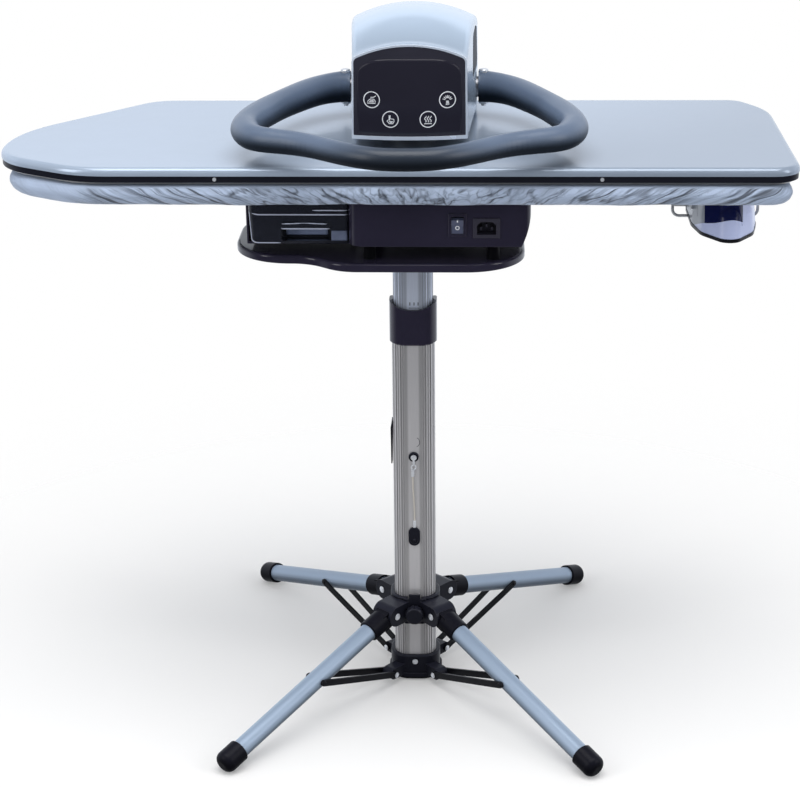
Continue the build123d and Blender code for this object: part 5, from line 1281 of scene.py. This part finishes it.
    def profile(self) -> list[tuple[float, float]]:
        """Lists the skirt's rows from shoulder to hem, as an inset from the cover's box and a height."""
        low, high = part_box("bed_cover")
        shape = self.skirt_shape
        rows = []
        for row in range(self.rows):
            at = row / (self.rows - 1) * (len(shape) - 1)
            index = min(int(at), len(shape) - 2)
            share = at - index
            (inset, fall), (next_inset, next_fall) = shape[index], shape[index + 1]
            drop = fall + (next_fall - fall) * share
            z = high.z - 0.0004 + (low.z + 0.0006 - high.z) * drop
            rows.append((inset + (next_inset - inset) * share, z))
        return rows

    def cover(self) -> None:
        """Makes the cover: a crowned top, a creased skirt and a hem drawn in below."""
        low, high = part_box("bed_cover")
        walked = self.outline()
        skirt = self.profile()
        points: list[Vector] = []
        shade: list[float] = []
        folds: list[float] = []
        middle = Vector(((low.x + high.x) / 2 + 0.03, (low.y + high.y) / 2))
        for ring in range(self.top_rings):
            share = 0.97 * (1 - ring / self.top_rings)
            for place, out in walked:
                edge = place - out * skirt[0][0]
                spine = Vector((min(max(edge.x, middle.x - 0.30), middle.x + 0.33), middle.y))
                at = edge.lerp(spine, share)
                wave = noise.noise(Vector((at.x * 14, at.y * 14, self.seed)))
                points.append(Vector((at.x, at.y, high.z - 0.0009 * abs(wave) - 0.0003)))
                shade.append(0.0)
                folds.extend((0.0, 0.0, 0.0, 0.0))
        for row, (inset, z) in enumerate(skirt):
            down = row / (len(skirt) - 1)
            for index, (place, out) in enumerate(walked):
                along = index * self.step
                height, dark = self.relief(along, down, place) if row else (0.0, 0.0)
                sag = 0.0017 * noise.noise(Vector((along * 15, 3.0, self.seed)))
                sag *= smooth_step(0.5, 0.85, down)
                at = place - out * (inset - min(height, inset * 0.2 + 0.0012))
                points.append(Vector((at.x, at.y, max(z + sag, low.z - 0.0020))))
                shade.append(dark)
                folds.extend(self.folds(along, down, place))
        faces = tube_faces(self.top_rings + len(skirt), len(walked), ends=False)
        faces.append(tuple(reversed(range(len(walked)))))
        made = Piece("fitted_cover", points, faces).make(FINISHES["cover_cloth"], "machine")
        made.data.attributes.new(VALLEY_SHADE, "FLOAT", "POINT").data.foreach_set("value", shade)
        made.data.attributes.new(FOLDS, "FLOAT_COLOR", "POINT").data.foreach_set("color", folds)
        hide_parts("bed_cover")
        self.hem(walked, skirt[-1])

    def hem(self, walked: list[tuple[Vector, Vector]], foot: tuple[float, float]) -> bpy.types.Object:
        """Makes the rolled hem with its elastic, ruffled where it is drawn in.

        Args:
            walked: the outline's points with their outward directions.
            foot: the inset and the height of the skirt's last row.

        Returns:
            The hem.
        """
        inset, z = foot
        sides = 8
        points = []
        for index, (place, out) in enumerate(walked):
            ruffle = 1.0 + 0.35 * noise.noise(Vector((index * self.step * 150, 0.0, self.seed + 5)))
            centre = place - out * (inset + 0.0008)
            for side in range(sides):
                angle = TURN * side / sides
                reach = out * (math.cos(angle) * 0.0019 * ruffle)
                height = z + math.sin(angle) * 0.0015 * ruffle
                points.append(Vector((centre.x + reach.x, centre.y + reach.y, height)))
        piece = Piece("cover_hem", points, tube_faces(len(walked), sides, loop=True))
        return piece.make(HEM_COTTON, "machine")

    def pad(self) -> None:
        """Makes the felt pad under the cover."""
        low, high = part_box("bed_pad")
        walked = self.outline()[::3]
        profile = ((0.018, low.z), (0.0142, low.z + 0.001), (0.0132, low.z + 0.004), (0.0130, low.z + 0.008),
                   (0.0136, high.z - 0.003), (0.0156, high.z - 0.0008), (0.022, high.z - 0.0002),
                   (0.06, high.z))
        points = []
        for row, (inset, z) in enumerate(profile):
            for index, (place, out) in enumerate(walked):
                ruffle = 0.0004 * noise.noise(Vector((index * 0.3, row * 0.8, self.seed)))
                at = place - out * (inset + max(ruffle, 0.0))
                points.append(Vector((at.x, at.y, z)))
        piece = Piece("felt_pad", points, tube_faces(len(profile), len(walked)))
        made = piece.make(FINISHES["felt"], "machine")
        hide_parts("bed_pad")

    def build(self) -> None:
        """Builds the cover and the pad."""
        self.cover()
        self.pad()


class Skin:
    """The front of one CAD node, for marks and beads that lie on it."""

    def __init__(self, node: str) -> None:
        """Args:
            node: the node's name.
        """
        mesh = frame["nodes"][node].data
        corners = [vertex.co.copy() for vertex in mesh.vertices]
        self.tree = BVHTree.FromPolygons(corners, [tuple(polygon.vertices) for polygon in mesh.polygons])

    def at(self, x: float, z: float, lift: float) -> Vector:
        """Finds a point on the front.

        Args:
            x: its place across.
            z: its height.
            lift: how far it stands off the surface.

        Returns:
            The point, in the object's frame.
        """
        before = Vector((x, -0.6, z))
        place, normal, _, _ = self.tree.ray_cast(before, Vector((0.0, 1.0, 0.0)))
        if place is None:
            place, normal, _, _ = self.tree.find_nearest(before)
        if normal.y > 0:
            normal = -normal
        return place + normal * lift


@dataclass
class Print:
    """Printed strokes that follow the front of one node.

    Attributes:
        node: the node that is printed.
        body: the body that it is on.
        slot: the node's material slot; not used.
        ink: the print's finish.
        thickness: how far the print stands proud.
    """

    node: str
    body: str
    slot: str
    ink: Finish
    thickness: float = 0.00012

    def __post_init__(self) -> None:
        """Takes the node's front."""
        self.skin = Skin(self.node)

    def ribbon(self, line: Line, closed: bool, width: float) -> tuple[list[Vector], list[Face]]:
        """Draws one printed stroke.

        Args:
            line: its middle line, across and up.
            closed: whether it comes back to its start.
            width: its width.

        Returns:
            The stroke's points and faces.
        """
        points: list[Vector] = []
        count = len(line)
        for index, (x, z) in enumerate(line):
            ahead = line[(index + 1) % count] if closed else line[min(index + 1, count - 1)]
            behind = line[index - 1] if closed else line[max(index - 1, 0)]
            heading = Vector((ahead[0] - behind[0], ahead[1] - behind[1])).normalized()
            side = Vector((-heading.y, heading.x)) * (width / 2)
            for sign, lift in ((1, 0.00002), (1, self.thickness), (-1, self.thickness), (-1, 0.00002)):
                points.append(self.skin.at(x + side.x * sign, z + side.y * sign, lift))
        return points, tube_faces(count, 4, loop=closed)

    def strokes(self, name: str, lines: list[tuple[Line, bool, float]]) -> None:
        """Prints several strokes as one piece.

        Args:
            name: the piece's name.
            lines: each stroke's line, whether it is closed, and its width.
        """
        points: list[Vector] = []
        faces: list[Face] = []
        for line, closed, width in lines:
            more, sides = self.ribbon(line, closed, width)
            faces.extend(tuple(index + len(points) for index in side) for side in sides)
            points.extend(more)
        Piece(name, points, faces).make(self.ink, self.body, smooth=False)


def circle(x: float, z: float, radius: float, steps: int = 48) -> Line:
    """Lists points round a circle on a front."""
    turns = [TURN * step / steps for step in range(steps)]
    return [(x + radius * math.cos(turn), z + radius * math.sin(turn)) for turn in turns]


@dataclass
class TouchPanel:
    """The touch panel's dark screen and its white print: four rings, each with its sign.

    Attributes:
        ring: the radius of the rings.
        stroke: the width of the printed lines.
        rings: each ring's sign, its place across and its height.
        screen_half: half the screen's width.
        screen_foot: the height of the screen's lower edge.
        screen_shoulder: the height where its arch begins.
        screen_rise: how far its arch rises.
    """

    ring: float = 0.0100
    stroke: float = 0.0012
    rings: tuple[tuple[Pictogram, float, float], ...] = (
        (Pictogram.IRON, -0.0474, 0.8553),
        (Pictogram.TOUCH, -0.0238, 0.8314),
        (Pictogram.STEAM, 0.0236, 0.8314),
        (Pictogram.JETS, 0.0481, 0.8552),
    )
    screen_half: float = 0.0665
    screen_foot: float = 0.8120
    screen_shoulder: float = 0.8840
    screen_rise: float = 0.0230

    def sign(self, kind: Pictogram) -> list[tuple[Line, bool]]:
        """Lists a pictogram's strokes about the middle of its ring.

        Args:
            kind: the pictogram.

        Returns:
            Each stroke's line, in metres, and whether it is closed.
        """
        unit = self.ring / 10
        if kind is Pictogram.IRON:
            strokes = [([(-5.6, -4.4), (4.6, -4.4), (4.6, -1.4), (3.0, 0.8), (-1.5, 1.0),
                         (-4.4, -1.2)], True),
                       ([(-3.4, -2.6), (3.2, -2.6)], False), ([(-2.0, -1.0), (2.6, -1.0)], False),
                       ([(-1.4, 3.0), (2.4, 3.2), (5.4, 5.0)], False)]
        elif kind is Pictogram.TOUCH:
            strokes = [([(-1.6, -0.4), (-1.6, 5.0), (-0.2, 5.0), (-0.2, 0.8), (4.4, 0.2), (4.6, -2.6),
                         (3.2, -5.4), (-1.4, -5.4), (-4.4, -2.0), (-3.4, -1.2)], True),
                       ([(-1.8, -2.8), (3.0, -2.8)], False),
                       ([(-0.9, 4.2), (-0.9, -1.6)], False), ([(-0.8, -4.0), (2.6, -4.0)], False)]
        elif kind is Pictogram.STEAM:
            strokes = [([(math.sin(step * 1.05) * 1.1 + x, step - 3.6) for step in range(0, 9)], False)
                       for x in (-3.2, 0.0, 3.2)]
            strokes.append(([(-4.8, -5.4), (4.8, -5.4)], False))
        else:
            reaches = [(math.cos(math.radians(turn)), math.sin(math.radians(turn))) for turn in
                       (20, 45, 70, 90, 110, 135, 160)]
            strokes = [([(x * 3.0, up * 3.0 - 0.8), (x * 6.4, up * 6.4 - 0.8)], False) for x, up in reaches]
            strokes += [([(-1.7, -6.2), (1.7, -6.2), (1.0, -1.4), (-1.0, -1.4)], True),
                        ([(0.0, -5.6), (0.0, -1.8)], False)]
        return [([(x * unit, up * unit) for x, up in line], closed) for line, closed in strokes]

    def screen(self) -> None:
        """Lays the dark screen with its arched top over the panel's middle."""
        skin = Skin("control_panel")
        across, high = 40, 24
        points = []
        for lift in (0.00002, 0.00010):
            for column in range(across + 1):
                share = 2 * column / across - 1
                top = self.screen_shoulder + self.screen_rise * math.sqrt(max(1 - share ** 4, 0.0))
                for row in range(high + 1):
                    z = self.screen_foot + (top - self.screen_foot) * row / high
                    points.append(skin.at(self.screen_half * share, z, lift))
        piece = Piece("panel_screen", points, pane_faces(across, high, backed=False))
        piece.make(SCREEN, "arm")

    def build(self) -> None:
        """Lays the screen and prints the rings and their signs on it."""
        self.screen()
        ink = Print("control_panel", "arm", "touch_glass", PRINT_WHITE, 0.00024)
        for kind, x, z in self.rings:
            lines = [(circle(x, z, self.ring), True, self.stroke)]
            for line, closed in self.sign(kind):
                lines.append(([(x + dx, z + dz) for dx, dz in line], closed, self.stroke * 0.8))
            ink.strokes("panel_" + kind.value, lines)


@dataclass
class SmallMarks:
    """The plain marks on the rocker, the iron and the column.

    Attributes:
        rocker_x: the rocker's middle.
        line_low: the lower end of the rocker's line.
        line_high: its upper end.
        ring_z: the height of the rocker's ring.
        ring: the ring's radius.
        dots: the places of the iron's two dots.
        height_marks: the places across of the inner tube's height marks.
        height_z: their height.
        pin_x: the lock pin's place across.
        pin_z: its height.
        crescent: the radius of the crescent beside the pin.
    """

    rocker_x: float = 0.0612
    line_low: float = 0.7092
    line_high: float = 0.7156
    ring_z: float = 0.7012
    ring: float = 0.0022
    dots: tuple[tuple[float, float], ...] = ((0.4215, 0.7065), (0.4255, 0.7040))
    height_marks: tuple[float, ...] = (-0.0036, 0.0020, 0.0074)
    height_z: float = 0.5652
    pin_x: float = 0.0008
    pin_z: float = 0.3660
    crescent: float = 0.0076

    def build(self) -> None:
        """Prints the rocker's line and ring, the tube's height marks, the iron's dots and the crescent."""
        rocker = Print("rocker_switch", "rocker", "gloss_black", PRINT_WHITE)
        line = [(self.rocker_x, self.line_low), (self.rocker_x, self.line_high)]
        rocker.strokes("rocker_line_mark", [(line, False, 0.0016)])
        ring = circle(self.rocker_x, self.ring_z, self.ring, 32)
        rocker.strokes("rocker_ring_mark", [(ring, True, 0.0012)])
        low, high = self.height_z - 0.0022, self.height_z + 0.0022
        ticks = [([(x, low), (x, high)], False, 0.0011) for x in self.height_marks]
        ticks.append(([(-0.0052, self.height_z - 0.0058), (0.0090, self.height_z - 0.0058)], False, 0.0006))
        Print("inner_tube", "machine", "brushed_tube", PRINT_DARK).strokes("inner_tube_height_marks", ticks)
        dots = [([(x - 0.0009, z), (x + 0.0009, z)], False, 0.0018) for x, z in self.dots]
        Print("iron_shell", "iron", "iron_lilac", PRINT_WHITE).strokes("iron_dots", dots)
        turns = [math.radians(turn) for turn in range(-62, 63, 6)]
        arc = [(self.pin_x + self.crescent * math.cos(turn), self.pin_z + self.crescent * math.sin(turn))
               for turn in turns]
        Print("outer_tube", "stand", "brushed_tube", PRINT_DARK).strokes("turn_mark", [(arc, False, 0.0007)])


@dataclass
class TankGlints:
    """Painted highlights and reflections on the water tank: bright beads along its edges, its lid's seam and
    its pull, and pale panes inside its pull and on its window.

    Attributes:
        left: the left edge's place across.
        right: the right end of the seam.
        foot: the height of the lower edge.
        seam: the height of the lid's seam.
    """

    left: float = -0.2056
    right: float = -0.0795
    foot: float = 0.6738
    seam: float = 0.7116

    def glint_bead(self, name: str, radius: float, *line: tuple[float, float]) -> None:
        """Makes a slim bright line along the tank's front, a painted highlight.

        Args:
            name: the piece's name.
            radius: its radius.
            line: its middle line, across and up.
        """
        dense: Line = []
        for (x, z), (next_x, next_z) in zip(line, line[1:]):
            steps = max(int(math.hypot(next_x - x, next_z - z) / 0.002), 1)
            dense.extend((x + (next_x - x) * step / steps, z + (next_z - z) * step / steps)
                         for step in range(steps))
        dense.append(line[-1])
        path = [self.skin.at(x, z, radius * 0.5) for x, z in dense]
        sides = 8
        points = []
        for index, (centre, (_, across, aside)) in enumerate(zip(path, frames_along(path))):
            taper = min(1.0, 0.35 + 0.3 * min(index, len(path) - 1 - index))
            for side in range(sides):
                angle = TURN * side / sides
                points.append(centre + (across * math.cos(angle) + aside * math.sin(angle)) * radius * taper)
        Piece(name, points, tube_faces(len(path), sides)).make(EDGE_GLINT, "tank")

    def pane(self, name: str, finish: Finish, width: tuple[float, float], height: tuple[float, float],
             lift: float) -> None:
        """Makes a slightly bowed pale pane on the tank's front, a painted reflection.

        Args:
            name: the piece's name.
            finish: its finish.
            width: its left and right edges.
            height: its lower and upper edges.
            lift: how far it stands off.
        """
        across, high = 16, 8
        points = []
        for depth in (0.00005, lift):
            for column in range(across + 1):
                for row in range(high + 1):
                    x = width[0] + (width[1] - width[0]) * column / across
                    z = height[0] + (height[1] - height[0]) * row / high
                    points.append(self.skin.at(x, z, depth * (1.0 - 0.5 * (2 * row / high - 1) ** 2)))
        Piece(name, points, pane_faces(across, high, backed=True)).make(finish, "tank")

    def build(self) -> None:
        """Adds the highlight beads and the reflection panes."""
        self.skin = Skin("water_tank")
        left, right, foot, seam = self.left, self.right, self.foot, self.seam
        self.glint_bead("tank_left_edge_glint", 0.0007, (left, seam + 0.004), (left + 0.0006, seam - 0.01),
                  (left + 0.0022, foot + 0.0044), (left + 0.0030, foot + 0.0020),
                  (left + 0.0058, foot + 0.0004), (left + 0.010, foot), (-0.1660, foot))
        self.glint_bead("tank_seam_glint", 0.0009, (left + 0.004, seam + 0.0012), (left + 0.012, seam),
                  (right, seam))
        self.glint_bead("tank_lid_glint_left", 0.0008, (-0.1630, 0.7172), (-0.1400, 0.7172))
        self.glint_bead("tank_lid_glint_right", 0.0008, (-0.1240, 0.7172), (right, 0.7172))
        self.glint_bead("tank_pull_top_glint", 0.0007, (-0.1636, 0.6990), (-0.1346, 0.6996), (-0.1056, 0.6990))
        self.glint_bead("tank_pull_foot_glint", 0.0009, (-0.1650, 0.6932), (-0.1022, 0.6932))
        self.glint_bead("tank_window_foot_glint", 0.0007, (-0.1000, 0.6752), (-0.0812, 0.6752))
        self.pane("tank_window", WINDOW_REFLECTION, (-0.1005, -0.0800), (0.6764, 0.6900), 0.0004)
        self.pane("tank_pull_pane", PULL_REFLECTION, (-0.1600, -0.1060), (0.6790, 0.6900), 0.0005)


def main() -> None:
    """Builds the studio, dresses the nodes and adds the pieces."""
    logging.basicConfig(level=logging.INFO, format="%(message)s")
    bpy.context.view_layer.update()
    steps = (
        ("studio", Studio().build),
        ("lanyard", Lanyard().build),
        ("node finishes", dress_nodes),
        ("fitted cover and pad", FittedCover().build),
        ("touch panel", TouchPanel().build),
        ("marks", SmallMarks().build),
        ("tank edges", TankGlints().build),
    )
    for name, step in steps:
        step()
        LOG.info("built: %s", name)


if __name__ == "__main__":
    main()
